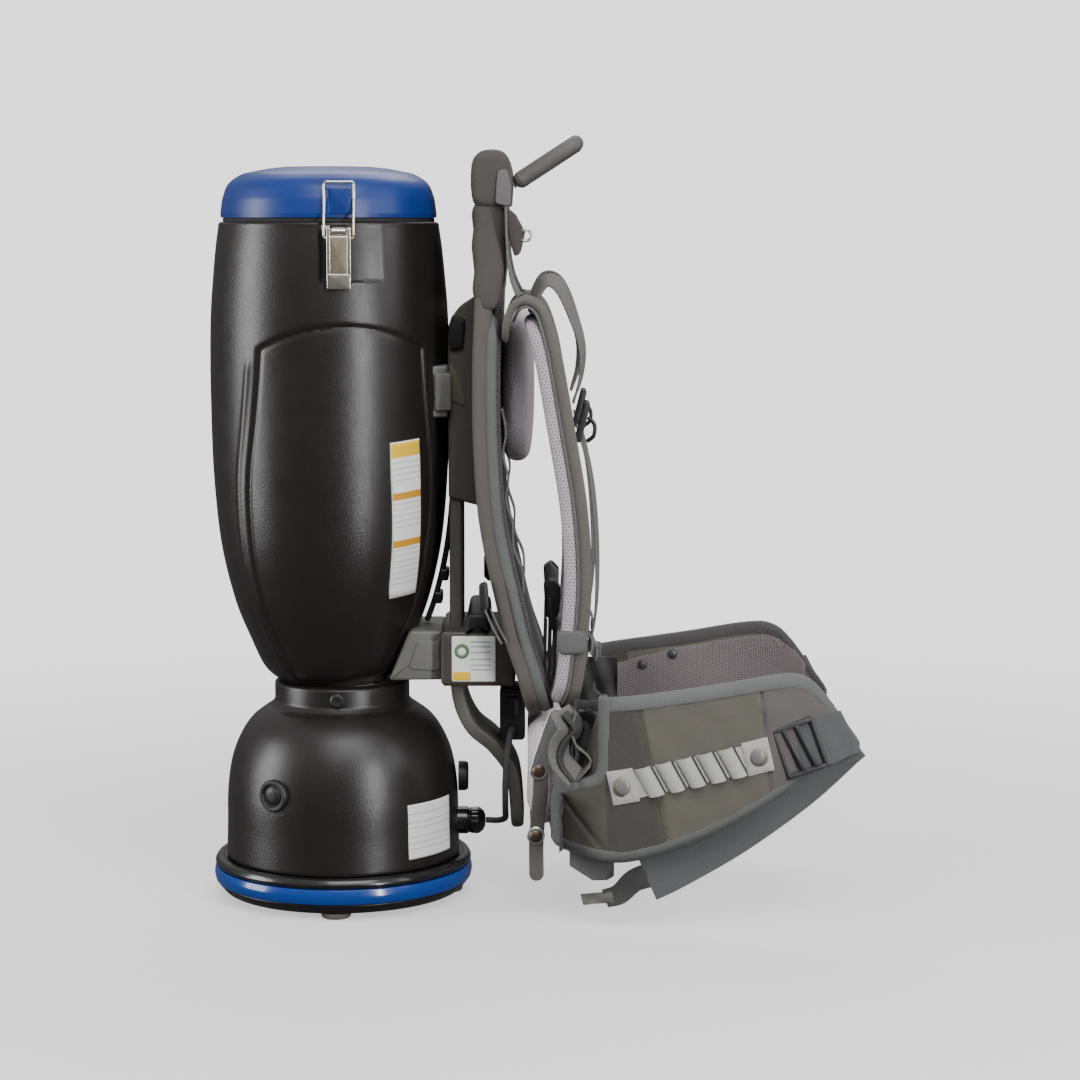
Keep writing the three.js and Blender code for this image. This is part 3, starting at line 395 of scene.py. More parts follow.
def strap_rows(route, width, thickness, radius=None, y=0.0, tip=0.0, lift=0.0, roll=0.0, crown=0.0,
               count=60, flat=7, across=(0, 1, 0)):
    """A strip carried along a smooth route in x and z (or x, y and z), round at both ends.

    Its section is a rounded rectangle: width lies along y (or across), thickness along the route's
    normal, which is towards +x where the route runs down. The width falls by a quarter circle of
    radius tip at each end, the thickness by one of half itself. lift moves it along the normal, roll
    (a number or one value for each route point) turns it round the route, crown swells its middle by
    (1 - share squared).
    """
    line = np.asarray(route, float)
    if line.shape[1] == 2:
        line = np.stack([line[:, 0], np.full(len(line), y), line[:, 1]], -1)
    shape = np.stack([np.broadcast_to(width, len(line)), np.broadcast_to(roll, len(line)),
                      np.broadcast_to(thickness, len(line))], -1)
    dense = spline(np.hstack([line, shape]), 500)
    run = lengths(dense[:, :3])
    length = run[-1]
    most = dense[:, 5].max()
    s = end_spots(length, max(tip, most / 2), count)
    x, yy, z, wide, turn, thick = (np.interp(s, run, dense[:, k]) for k in range(6))
    middle = np.stack([x, yy, z], -1)
    tangent = np.stack([np.interp(s, run, np.gradient(dense[:, k], run)) for k in range(3)], -1)
    tangent /= np.linalg.norm(tangent, axis=1, keepdims=True)
    side = np.asarray(across, float) - (tangent @ np.asarray(across, float))[:, None] * tangent
    side /= np.linalg.norm(side, axis=1, keepdims=True)
    out = np.cross(tangent, side)
    side, out = (np.cos(turn)[:, None] * side + np.sin(turn)[:, None] * out,
                 np.cos(turn)[:, None] * out - np.sin(turn)[:, None] * side)
    end = np.minimum(s, length - s)
    drop = 1 - np.sqrt(np.clip(1 - (1 - np.clip(end / max(tip, 1e-6), 0, 1))**2, 0, 1))
    thin = np.sqrt(np.clip(1 - (1 - np.clip(end / (most / 2), 0, 1))**2, 0.002, 1))
    shares = loop_shares(flat)
    corner = thick / 2 if radius is None else radius * thin
    sections = loops(shares, wide - 2 * tip * drop, thick * thin, corner)
    sections[..., 1] *= 1 + crown * (1 - shares[:, 0]**2) * (np.abs(shares[:, 1]) < 1e-9)
    return ribbon_rows(middle + lift * out, side, out, sections)


def bar_outline(route, width, steps=10):
    """The outline of a bar in x and z: a smooth route widened to both sides, with round ends."""
    line = spline(route, 40)
    wide = np.interp(np.linspace(0, 1, 40), np.linspace(0, 1, np.size(width)), np.ravel(width)) / 2
    normal = normals_2d(line, closed=False)
    turn = np.linspace(0, np.pi, steps)[1:-1, None]
    ends = []
    for k, sign in ((-1, 1), (0, -1)):
        forward = np.array([-normal[k][1], normal[k][0]]) * sign
        ends.append(line[k] + wide[k] * (sign * np.cos(turn) * normal[k] + np.sin(turn) * forward))
    offset = wide[:, None] * normal
    return np.vstack([line + offset, ends[0], (line - offset)[::-1], ends[1]])


def box_outline(low, high, radius):
    """A rounded rectangle in x and z from its low to its high corner."""
    return fillet([[low[0], low[1]], [high[0], low[1]], [high[0], high[1]], [low[0], high[1]]], radius)


def turned_about(rows, centre, degrees, axis="Y"):
    """Points turned about a line through centre along y (x towards z) or along x (y towards z)."""
    a = math.radians(degrees)
    i, j = {"Y": (0, 2), "X": (1, 2)}[axis]
    rows = rows.copy()
    p, q = rows[..., i] - centre[0], rows[..., j] - centre[1]
    rows[..., i] = centre[0] + p * math.cos(a) - q * math.sin(a)
    rows[..., j] = centre[1] + p * math.sin(a) + q * math.cos(a)
    return rows


def dome_rows(place, radius, height, side, count=8, sides=28):
    """A round button on a flat side: radius cos t, height sin t, on a short straight rim."""
    turn = np.linspace(0, np.pi / 2 * 0.98, count)
    profile = np.vstack([[[radius, -1.5]], np.stack([radius * np.cos(turn), height * np.sin(turn)], -1)])
    a = np.linspace(0, 2 * np.pi, sides, endpoint=False)
    r, h = profile[:, :1], profile[:, 1:]
    return np.stack([place[0] + r * np.cos(a), place[1] + side * (h + 0 * a), place[2] + r * np.sin(a)], -1)


def tube_rows(points, radius, count=60, sides=12):
    """A round rod along a smooth line, with a frame that turns as little as it can."""
    line = spline(points, count)
    tangent = np.gradient(line, axis=0)
    tangent /= np.linalg.norm(tangent, axis=1, keepdims=True)
    across = np.zeros_like(line)
    seed = np.array([0.0, 0, 1]) if abs(tangent[0][2]) < 0.8 else np.array([0.0, 1, 0])
    for k in range(count):
        seed = seed - tangent[k] * (seed @ tangent[k])
        seed /= np.linalg.norm(seed)
        across[k] = seed
    through = np.cross(tangent, across)
    a = np.linspace(0, 2 * np.pi, sides, endpoint=False)
    circle = np.stack([np.cos(a), np.sin(a)], -1) * radius
    return ribbon_rows(line, across, through, circle)


# =============================== finishes ===============================

class Finish:
    """One material and short ways to add its nodes."""

    def __init__(self, name, colour, roughness, metallic=0.0, **sockets):
        self.material = bpy.data.materials.new(name)
        self.material.use_nodes = True
        self.tree = self.material.node_tree
        self.shader = self.tree.nodes["Principled BSDF"]
        self.colour = (*colour, 1)
        self.set("Base Color", self.colour)
        self.set("Roughness", roughness)
        self.set("Metallic", metallic)
        for socket, value in sockets.items():
            self.set(socket.replace("_", " "), value)
        coords = self.tree.nodes.new("ShaderNodeTexCoord")
        self.object = coords.outputs["Object"]
        self.uv = coords.outputs["UV"]

    def set(self, socket, value):
        """Sets a socket of the main shader."""
        self.shader.inputs[socket].default_value = value

    def link(self, out, socket):
        """Joins an output to an input."""
        self.tree.links.new(out, socket)

    def mapped(self, source, scale):
        """A coordinate stretched by a scale for each axis."""
        node = self.tree.nodes.new("ShaderNodeMapping")
        self.link(source, node.inputs["Vector"])
        node.inputs["Scale"].default_value = scale
        return node.outputs["Vector"]

    def noise(self, source, scale, detail=2.0, roughness=0.5):
        """Cloudy noise, 0..1."""
        node = self.tree.nodes.new("ShaderNodeTexNoise")
        self.link(source, node.inputs["Vector"])
        node.inputs["Scale"].default_value = scale
        node.inputs["Detail"].default_value = detail
        node.inputs["Roughness"].default_value = roughness
        return node.outputs["Fac"]

    def maths(self, kind, a, b=0.5, c=0.5):
        """A sum done by the shader; each of a, b and c is a number or an output."""
        node = self.tree.nodes.new("ShaderNodeMath")
        node.operation = kind
        for socket, value in zip(node.inputs, (a, b, c)):
            if isinstance(value, (int, float)):
                socket.default_value = value
            else:
                self.link(value, socket)
        return node.outputs[0]

    def part(self, source, axis):
        """One coordinate of a vector."""
        node = self.tree.nodes.new("ShaderNodeSeparateXYZ")
        self.link(source, node.inputs[0])
        return node.outputs["XYZ".index(axis)]

    def ramp(self, factor, stops):
        """A colour ramp through (place, colour) stops."""
        node = self.tree.nodes.new("ShaderNodeValToRGB")
        self.link(factor, node.inputs["Fac"])
        elements = node.color_ramp.elements
        while len(elements) < len(stops):
            elements.new(0.5)
        for element, (place, colour) in zip(elements, stops):
            element.position = place
            element.color = (*colour, 1) if len(colour) == 3 else colour
        return node.outputs["Color"]

    def mix(self, factor, a, b):
        """A colour between a and b; each of the three is a number, a colour or an output."""
        node = self.tree.nodes.new("ShaderNodeMix")
        node.data_type = "RGBA"
        sockets = (node.inputs["Factor"], node.inputs[6], node.inputs[7])
        for socket, value in zip(sockets, (factor, a, b)):
            if isinstance(value, (int, float)):
                socket.default_value = value
            elif isinstance(value, tuple):
                socket.default_value = (*value[:3], 1)
            else:
                self.link(value, socket)
        return node.outputs[2]

    def paint(self, out):
        """Takes the main shader's colour from an output."""
        self.link(out, self.shader.inputs["Base Color"])

    def gloss(self, factor, low, high):
        """Lets the roughness wander from low to high with a factor."""
        node = self.tree.nodes.new("ShaderNodeMapRange")
        self.link(factor, node.inputs["Value"])
        node.inputs["To Min"].default_value = low
        node.inputs["To Max"].default_value = high
        self.link(node.outputs["Result"], self.shader.inputs["Roughness"])

    def bump(self, height, strength, distance, below=None):
        """Raises the surface by a height map, over an earlier one if there is one."""
        node = self.tree.nodes.new("ShaderNodeBump")
        node.inputs["Strength"].default_value = strength
        node.inputs["Distance"].default_value = distance
        self.link(height, node.inputs["Height"])
        if below is not None:
            self.link(below, node.inputs["Normal"])
        self.link(node.outputs["Normal"], self.shader.inputs["Normal"])
        return node.outputs["Normal"]


def srgb(r, g, b):
    """A colour given in 0..255 screen values, as linear light."""
    c = np.array([r, g, b]) / 255
    return tuple(np.where(c <= 0.04045, c / 12.92, ((c + 0.055) / 1.055)**2.4).tolist())


def darker(colour, factor):
    """A colour with each channel multiplied by a factor, which may also brighten it."""
    return tuple(channel * factor for channel in colour)


def grained_plastic(name, colour, roughness, grain=0.00012, grain_scale=1500):
    """Moulded plastic: fine pebble grain, faint cloudy colour, and gloss that wanders a little."""
    f = Finish(name, colour, roughness)
    cloud = f.noise(f.object, 9, 4)
    f.paint(f.mix(cloud, darker(colour, 0.86), darker(colour, 1.14)))
    f.gloss(f.noise(f.object, 60, 5), roughness - 0.05, roughness + 0.07)
    f.bump(f.noise(f.object, grain_scale, 2, 0.6), 0.35, grain)
    return f.material


def smooth_plastic(name, colour, roughness, coat=0.0):
    """Polished plastic: faint flow marks in its gloss and a thin layer of handling marks."""
    f = Finish(name, colour, roughness)
    f.set("Coat Weight", coat)
    f.set("Coat Roughness", 0.08)
    f.paint(f.mix(f.noise(f.object, 14, 3), darker(colour, 0.9), darker(colour, 1.1)))
    f.gloss(f.noise(f.object, 120, 6, 0.7), roughness * 0.8, roughness * 1.35)
    f.bump(f.noise(f.object, 420, 2), 0.12, 0.00006)
    return f.material


def metal(name, colour, roughness, brushed="Z"):
    """Plated or brushed metal: fine lines along one direction and faint dullness."""
    f = Finish(name, colour, roughness, 1.0)
    scale = {"X": (40, 900, 900), "Y": (900, 40, 900), "Z": (900, 900, 40)}[brushed]
    lines = f.noise(f.mapped(f.object, scale), 2.0, 3)
    f.paint(f.mix(f.noise(f.object, 70, 3), darker(colour, 0.85), colour))
    f.gloss(lines, roughness * 0.75, roughness * 1.5)
    f.bump(lines, 0.15, 0.00004)
    return f.material


def rubber(name, colour):
    """Matt rubber with a dusty bloom."""
    f = Finish(name, colour, 0.75)
    f.paint(f.mix(f.noise(f.object, 90, 5, 0.7), darker(colour, 0.8), darker(colour, 1.5)))
    f.bump(f.noise(f.object, 900, 2), 0.3, 0.0001)
    return f.material


def hexagons(f, a, b, pitch):
    """A value that peaks on a six-sided lattice: the sum of three cosines 60 degrees apart."""
    turns = 2 * math.pi / (pitch * MM) * 1.1547
    total = None
    for k in range(3):
        angle = math.radians(60 * k)
        across = f.maths("MULTIPLY", b, turns * math.sin(angle))
        along = f.maths("MULTIPLY_ADD", a, turns * math.cos(angle), across)
        wave = f.maths("COSINE", along)
        total = wave if total is None else f.maths("ADD", total, wave)
    return f.maths("MULTIPLY_ADD", total, 2 / 9, 1 / 3)


def around(f, on_map):
    """Two lengths over a skin: its texture map, or for a swelled pad x less the size of y, and z."""
    if on_map:
        return f.part(f.uv, "X"), f.part(f.uv, "Y")
    x, y, z = (f.part(f.object, axis) for axis in "XYZ")
    return f.maths("SUBTRACT", x, f.maths("ABSOLUTE", y)), z


def plain_weave(f, a, b, pitch):
    """Over-and-under threads: the product of two sines across each other."""
    turns = math.pi / (pitch * MM)
    over = f.maths("SINE", f.maths("MULTIPLY", a, turns))
    under = f.maths("SINE", f.maths("MULTIPLY", b, turns))
    return f.maths("MULTIPLY_ADD", f.maths("MULTIPLY", over, under), 0.5, 0.5)


def stitch_mask(f, lines, length=4.0, thread=0.9):
    """Dashes along lines of the texture map: lines are millimetres round the section."""
    u, v = f.part(f.uv, "X"), f.part(f.uv, "Y")
    dash = f.maths("LESS_THAN", f.maths("FRACT", f.maths("MULTIPLY", u, 1 / (length * MM))), 0.68)
    total = None
    for place in lines:
        near = f.maths("ABSOLUTE", f.maths("SUBTRACT", v, place * MM))
        mask = f.maths("MULTIPLY", f.maths("LESS_THAN", near, thread / 2 * MM), dash)
        total = mask if total is None else f.maths("MAXIMUM", total, mask)
    return total


def cloth_base(f, colour, weave, cloud_scale=14, contrast=0.45, lift=0.00025):
    """Threads, cloudy fading and rubbed fuzz shared by all woven pieces; returns colour and height."""
    cloud = f.noise(f.object, cloud_scale, 5, 0.6)
    speck = f.noise(f.object, 420, 3, 0.7)
    tone = f.mix(cloud, darker(colour, 0.78), darker(colour, 1.2))
    tone = f.mix(f.maths("MULTIPLY", weave, contrast), tone, darker(colour, 0.45))
    tone = f.mix(f.maths("MULTIPLY", speck, 0.35), tone, darker(colour, 1.7))
    height = f.maths("MULTIPLY_ADD", speck, 0.35, weave)
    f.gloss(speck, 0.72, 0.95)
    f.set("Sheen Weight", 0.06)
    f.set("Sheen Roughness", 0.45)
    return tone, height, lift


def cloth(name, colour, pitch=1.1, stitches=(), on_map=True, wrinkle=0.0):
    """Woven pack cloth with optional rows of stitches along its texture map."""
    f = Finish(name, colour, 0.85)
    tone, height, lift = cloth_base(f, colour, plain_weave(f, *around(f, on_map), pitch))
    if stitches:
        mask = stitch_mask(f, stitches)
        tone = f.mix(mask, tone, darker(colour, 1.45))
        height = f.maths("MULTIPLY_ADD", mask, 3.0, height)
    f.paint(tone)
    folds = f.bump(f.noise(f.object, 55, 3, 0.5), 0.5, wrinkle) if wrinkle else None
    f.bump(height, 0.7, lift, folds)
    return f.material


def webbing_cloth(name, colour, pitch=2.0, stitches=()):
    """Ribbed webbing: fine ribs straight across it and slow twill lines along it."""
    f = Finish(name, colour, 0.8)
    u, v = f.part(f.uv, "X"), f.part(f.uv, "Y")
    wave = f.maths("SINE", f.maths("MULTIPLY", u, 2 * math.pi / (pitch * MM)))
    ribs = f.maths("MULTIPLY_ADD", wave, 0.5, 0.5)
    twill = f.maths("ADD", f.maths("MULTIPLY", u, 1 / (4 * MM)), f.maths("MULTIPLY", v, 1 / (2.6 * MM)))
    twill = f.maths("PINGPONG", twill, 0.5)
    weave = f.maths("MULTIPLY_ADD", twill, 0.8, f.maths("MULTIPLY", ribs, 0.6))
    tone, height, lift = cloth_base(f, colour, weave, 20, 0.5, 0.0003)
    if stitches:
        mask = stitch_mask(f, stitches)
        tone = f.mix(mask, tone, darker(colour, 0.35))
    f.paint(tone)
    f.bump(height, 0.8, lift)
    return f.material


def air_mesh(name, colour, pitch=3.2, on_map=True, hole_shade=0.28):
    """Knitted spacer mesh: a six-sided lattice of small holes in soft pale yarn, the holes darkened as
    painted shade.
    """
    f = Finish(name, colour, 0.9)
    holes = hexagons(f, *around(f, on_map), pitch)
    cloud = f.noise(f.object, 30, 4)
    tone = f.mix(cloud, darker(colour, 0.8), darker(colour, 1.12))
    hole = f.ramp(holes, [(0.42, (0, 0, 0)), (0.72, (1, 1, 1))])
    # Painted shade: the holes take the yarn's colour times hole_shade, standing in for the shade inside them.
    f.paint(f.mix(hole, tone, darker(colour, hole_shade)))
    f.set("Sheen Weight", 0.1)
    f.set("Sheen Roughness", 0.5)
    yarn = f.maths("MULTIPLY", f.noise(f.object, 600, 2), 0.4)
    f.bump(f.maths("MULTIPLY_ADD", holes, -1.0, yarn), 0.8, 0.0006)
    return f.material


BODY = srgb(30, 27, 26)
BLACK = srgb(26, 25, 25)
YELLOW = srgb(232, 190, 40)
AMBER = srgb(205, 150, 40)
LID_BLUE = srgb(14, 47, 120)
BAND_BLUE = srgb(14, 62, 142)
NICKEL = (0.82, 0.76, 0.68)

charcoal = grained_plastic("charcoal grained plastic", BODY, 0.34, 0.0004, 700)
lid_blue = grained_plastic("blue satin plastic", LID_BLUE, 0.38, 0.00005, 900)
band_blue = smooth_plastic("blue gloss band", BAND_BLUE, 0.2, 0.4)
gloss_black = smooth_plastic("black gloss plastic", BLACK, 0.22, 0.3)
satin_black = grained_plastic("black satin plastic", srgb(30, 30, 31), 0.45, 0.00008, 1200)
black_rubber = rubber("black rubber", srgb(34, 33, 33))
foot_rubber = rubber("grey rubber", srgb(88, 86, 83))
nickel = metal("nickel plate", NICKEL, 0.24)
dull_nickel = metal("dull nickel", (0.3, 0.27, 0.2), 0.5)
rivet_metal = metal("aged rivet", srgb(128, 110, 98), 0.42)
silver = metal("bright steel", (0.8, 0.8, 0.8), 0.28)
frame_plastic = grained_plastic("grey frame plastic", srgb(92, 91, 86), 0.5)
bracket_plastic = grained_plastic("pale bracket plastic", srgb(106, 106, 101), 0.45)
box_plastic = grained_plastic("brown grey box plastic", srgb(66, 60, 56), 0.42)
dark_plastic = grained_plastic("dark buckle plastic", srgb(52, 52, 54), 0.38, 0.00005)
lead_rubber = rubber("lead sheath", srgb(70, 70, 72))

OLIVE = srgb(98, 95, 84)
BROWN_GREY = srgb(66, 61, 60)
LILAC_GREY = srgb(100, 96, 98)
BINDING = srgb(92, 93, 93)
olive_cloth = cloth("olive grey pack cloth", OLIVE)
panel_cloth = cloth("brown grey panel cloth", srgb(86, 82, 78), stitches=(3, 204))
brown_cloth = cloth("brown grey pack cloth", BROWN_GREY)
binding_tape = webbing_cloth("binding tape", BINDING, 1.5)
strap_webbing = webbing_cloth("light grey webbing", srgb(98, 97, 95), 2.0)
belt_web = webbing_cloth("mid grey belt webbing", srgb(82, 83, 84), 2.4)
dark_web = webbing_cloth("dark webbing", srgb(58, 57, 57), 2.0)
pale_mesh = air_mesh("pale lavender mesh", srgb(182, 174, 180), hole_shade=0.42)
# The pads' mesh colour is raised well above its own as painted light, because the pads face away from the
# lamps; its holes get a lighter painted shade.
pad_mesh_painted_bright = air_mesh("lavender pad mesh with painted light", srgb(236, 226, 232), 2.4, on_map=False, hole_shade=0.7)
sleeve_cloth = cloth("warm grey sleeve cloth", srgb(88, 82, 77))
button_plastic = smooth_plastic("grey button plastic", srgb(112, 110, 108), 0.3)
keeper_web = webbing_cloth("keeper webbing", srgb(92, 92, 92), 1.8)
lining_mesh = air_mesh("pinkish grey lining", srgb(118, 108, 110), 2.6)
dark_tape = webbing_cloth("dark binding tape", srgb(62, 60, 60), 1.5)
dark_mesh = air_mesh("dark panel mesh", srgb(70, 68, 70))
head_cloth = cloth("brown grey head cloth", srgb(70, 66, 64), on_map=False)
lilac_cloth = cloth("lilac grey cloth", LILAC_GREY)
strap_cloth = cloth("grey strap cloth", srgb(90, 88, 83), stitches=(6, 56, 72, 122))
handle_rubber = rubber("handle rubber", srgb(84, 83, 82))
rack_foil = webbing_cloth("silver rack webbing", srgb(168, 167, 165), 1.4)

INNER_FINISHES = (
    ("motor_foot", black_rubber), ("motor_can", metal("motor can steel", (0.5, 0.5, 0.5), 0.35)),
    ("fan_housing", metal("cast fan housing", (0.42, 0.42, 0.43), 0.5)),
    ("fan_rotor", metal("fan rotor alloy", (0.6, 0.6, 0.61), 0.3)), ("motor_seal", black_rubber),
    ("exhaust_filter", cloth("exhaust filter felt", srgb(150, 152, 150), on_map=False)),
    ("motor_filter", cloth("motor filter felt", srgb(190, 190, 186), on_map=False)),
    ("filter_bag", cloth("filter bag fleece", srgb(205, 200, 188), on_map=False, wrinkle=0.0008)))


# =============================== canister ===============================

def make_base():
    """Feet, bottom cover, glossy band and flange as fine turned pieces."""
    for name in ("front", "left", "rear", "right"):
        low, high = node_mm(f"foot_{name}")
        radius = (high[0] - low[0]) / 2
        profile = fillet([[0, 0], [radius - 0.6, 0], [radius, 5], [0, 5]], [0, 2.2, 0.6, 0])[1:-1]
        foot = turned_rows(profile, (low[0] + high[0]) / 2, (low[1] + high[1]) / 2, 48)
        crease(Body().shell(foot).build(f"foot_pad_{name}", foot_rubber, slot="rubber_black",
                                        replaces=[f"foot_{name}"]))
    r = BASE_RADIUS
    cover = fillet([[r - 60, COVER_LOW + 4], [r - 60, COVER_LOW], [r - 9, COVER_LOW],
                    [r - 1.6, BAND_LOW - 0.3], [r - 10, BAND_LOW - 0.3], [r - 12, COVER_LOW + 4]],
                   [0, 0.5, 5, 1, 0, 0])
    base = Body().shell(turned_rows(cover, sides=192), wrap_rows=True)
    base.shell(turned_rows([[r - 59.5, COVER_LOW + 0.4], [r - 59.5, COVER_LOW + 4]], sides=96))
    crease(base.build("bottom_pan", charcoal, slot="body_charcoal", replaces=["bottom_cover"]), 50)
    band = fillet([[r - 12, BAND_LOW], [r - 1.2, BAND_LOW], [r + 0.4, (BAND_LOW + BAND_HIGH) / 2],
                   [r - 1.2, BAND_HIGH], [r - 12, BAND_HIGH]], [0, 0.8, 30, 0.8, 0])
    crease(Body().shell(turned_rows(band, sides=192), wrap_rows=True).build(
        "gloss_band", band_blue, slot="lid_blue", replaces=["blue_band"]), 60)
    flange = fillet([[r - 40, FLANGE_LOW], [r - 2.5, FLANGE_LOW], [r - 0.4, FLANGE_LOW + 3.2],
                     [r - 3, FLANGE_HIGH - 0.6], [BELL_RADIUS + 3.6, FLANGE_HIGH],
                     [BELL_RADIUS + 2.4, FLANGE_HIGH - 1], [r - 40, FLANGE_HIGH - 1]],
                    [0, 1, 2.4, 2.6, 0.8, 0.4, 0])
    crease(Body().shell(turned_rows(flange, sides=192), wrap_rows=True).build(
        "gloss_flange", gloss_black, slot="gloss_black", replaces=["base_flange"]), 60)


def bell_radius(z):
    """Outside radius of the motor housing at a height: a smooth curve through its shoulder."""
    h = NECK_LOW - HOUSING_LOW
    share = [[0, 1], [0.2, 0.992], [0.44, 0.985], [0.65, 0.945], [0.81, 0.865], [0.92, 0.765], [1, 0.63]]
    line = spline(share, 80)
    return BELL_RADIUS * np.interp((z - HOUSING_LOW) / h, line[:, 0], line[:, 1])


def make_housing():
    """The motor housing with its rounded shoulder and the neck collar with a soft step below it."""
    z = np.linspace(HOUSING_LOW + 1, NECK_LOW - 1.5, 60)
    outer = np.stack([bell_radius(z), z], -1)
    neck = fillet([outer[-1], [NECK_RADIUS + 3.5, NECK_LOW + 1.2], [NECK_RADIUS, NECK_LOW + 5],
                   [NECK_RADIUS, HOUSING_HIGH - 0.6], [NECK_RADIUS - 8, HOUSING_HIGH],
                   [NECK_RADIUS - 12, HOUSING_HIGH]], [0, 3, 4, 2.5, 0, 0], closed=False)
    r = BELL_RADIUS
    foot = [[r - 3, HOUSING_LOW + 4], [r - 3, HOUSING_LOW], [r - 0.6, HOUSING_LOW]]
    profile = np.vstack([foot, outer, neck, [[NECK_RADIUS - 12, NECK_LOW]], outer[::-4] - [3.2, 1.5]])
    crease(Body().shell(turned_rows(profile, sides=216), wrap_rows=True).build(
        "housing_shell", charcoal, slot="body_charcoal", replaces=["motor_housing"]), 50)
    screw = fillet([[0, -4], [6.4, -4], [6.4, 1.6], [4.8, 2.9], [2.2, 2.9], [2.2, 1.4], [0, 1.4]],
                   [0, 0, 1, 0.6, 0.2, 0.2, 0])[1:-1]
    head = Body()
    for _, side in SIDES:
        head.shell(facing(turned_rows(screw, sides=40), side * math.pi / 2, NECK_RADIUS, NECK_LOW + 12))
    crease(head.build("neck_screws", satin_black, slot="gloss_black"), 40)


def make_fittings():
    """The round plug on the housing, the boss and the cable gland that face the harness."""
    low, high = node_mm("housing_plug")
    z = (low[2] + high[2]) / 2
    angle = math.atan2((low[1] + high[1]) / 2, (low[0] + high[0]) / 2)
    face = bell_radius(np.array([z]))[0]
    plug = fillet([[0, -6], [14, -6], [14, 1.6], [12.8, 3], [10, 3], [9, 0.6], [7.5, 2.4], [4, 3.6], [0, 4]],
                  [0, 0, 1, 0.8, 1.2, 0.8, 2, 3, 0])[1:-1]
    crease(Body().shell(facing(turned_rows(plug, sides=64), angle, face, z)).build(
        "plug_cap", satin_black, slot="gloss_black", replaces=["housing_plug"]), 50)
    low, high = node_mm("housing_boss")
    boss = fillet([[0, 0], [13, 0], [13, 5.4], [12, 8.6], [9.5, 8.6], [8.6, 7.4], [4, 8.2], [0, 8.4]],
                  [0, 0, 2, 2.2, 0.8, 0.8, 3, 0])[1:-1]
    boss[:, 1] += -boss[:, 1].max() + high[0]
    crease(Body().shell(facing(turned_rows(boss, sides=64), 0, 0, (low[2] + high[2]) / 2)).build(
        "boss_cap", satin_black, slot="gloss_black", replaces=["housing_boss"]), 50)
    low, high = node_mm("cable_gland")
    tip = high[0]
    nut = fillet([[0, tip - 30], [12, tip - 30], [12, tip - 15.5], [10.6, tip - 14.5], [11.6, tip - 12],
                  [11.8, tip - 6], [9, tip - 2], [4.9, tip], [0, tip]], [0, 0, 1, 0.8, 2, 4, 3, 1.2, 0])[1:-1]
    rows = turned_rows(nut, sides=72)
    a = np.linspace(0, 2 * np.pi, 72, endpoint=False)
    flutes = 1 + 0.03 * np.cos(12 * a) * ((nut[:, :1] > 11) & (nut[:, 1:] > tip - 13))
    rows[..., :2] *= flutes[..., None]
    crease(Body().shell(facing(rows, 0, 0, (low[2] + high[2]) / 2)).build(
        "gland_nut", gloss_black, slot="gloss_black", replaces=["cable_gland"]), 45)


def hopper_radius(z):
    """Outside radius of the hopper at a height: the same smooth curve that the frame's shell has."""
    share = [[0, 0.45], [0.032, 0.58], [0.093, 0.69], [0.18, 0.82], [0.306, 0.93], [0.46, 0.985], [0.615, 1],
             [0.727, 1], [0.813, 0.99], [0.88, 0.97], [0.947, 0.945], [1, RIM_RADIUS / HOPPER_RADIUS]]
    line = spline(share, 160)
    return HOPPER_RADIUS * np.interp((z - HOPPER_LOW) / (RIM - HOPPER_LOW), line[:, 0], line[:, 1])


FLANK_SHIFT = 20
FLANK_TOP, FLANK_RISE, FLANK_SPAN = 500, 21, 78
FLANK_SIDES = [[160, 70], [197, 78], [234, 86], [272, 92], [355, 92], [420, 82], [470, 76], [560, 72]]


def flank_distance(arc, z):
    """How far a point of the skin lies beside and above the egg-shaped panel, both negative inside it.

    The sides follow a smooth line of half widths, the top is a low parabola.
    """
    side = spline([[w, h] for h, w in FLANK_SIDES], 120)
    beside = np.abs(arc - FLANK_SHIFT) - np.interp(z, side[:, 1], side[:, 0])
    above = z - (FLANK_TOP - FLANK_RISE * ((arc - FLANK_SHIFT) / FLANK_SPAN)**2)
    return beside, above


def smoothstep(x, low, high):
    """A smooth rise from 0 at low to 1 at high; low may be the larger of the two."""
    t = np.clip((x - low) / (high - low), 0, 1)
    return t * t * (3 - 2 * t)


PANEL_SINK = 1.7
GROOVE_DEPTH = 1.3
BEAD_PLACE, BEAD_HEIGHT = 11, 1.0
POCKET_LOW = 537
POCKET_WIDTH = 57
POCKET_DEPTH = 5.2


def hopper_relief(angle, z):
    """How far the skin stands in from its plain turned shape: flank panels and latch pockets.

    The flank panel is sunk behind a groove, a bell curve of the distance to its outline, and has a
    raised bead outside its sides. The latch pocket begins at a sharp edge and runs out towards the wearer.
    """
    depth = np.zeros_like(z)
    for _, side in SIDES:
        across = (angle - side * np.pi / 2 + np.pi) % (2 * np.pi) - np.pi
        arc = across * HOPPER_RADIUS * (-side)
        near = np.abs(across) < 1.5
        beside, above = flank_distance(arc, z)
        away = np.maximum(beside, above)
        sunk = PANEL_SINK * smoothstep(away, 2.2, -2.2) + GROOVE_DEPTH * np.exp(-(away / 2.4)**2)
        bead = -BEAD_HEIGHT * np.exp(-((beside - BEAD_PLACE) / 2.8)**2) * smoothstep(above, 2, -12)
        runout = (1 - np.clip(arc / POCKET_WIDTH, 0, 1))**0.8
        cut = smoothstep(arc, -1.2, 1.2) * smoothstep(z, POCKET_LOW - 1, POCKET_LOW + 1)
        depth += near * (sunk + bead + POCKET_DEPTH * runout * cut)
    return depth


HOPPER_COLUMNS, HOPPER_ROWS = 408, 190


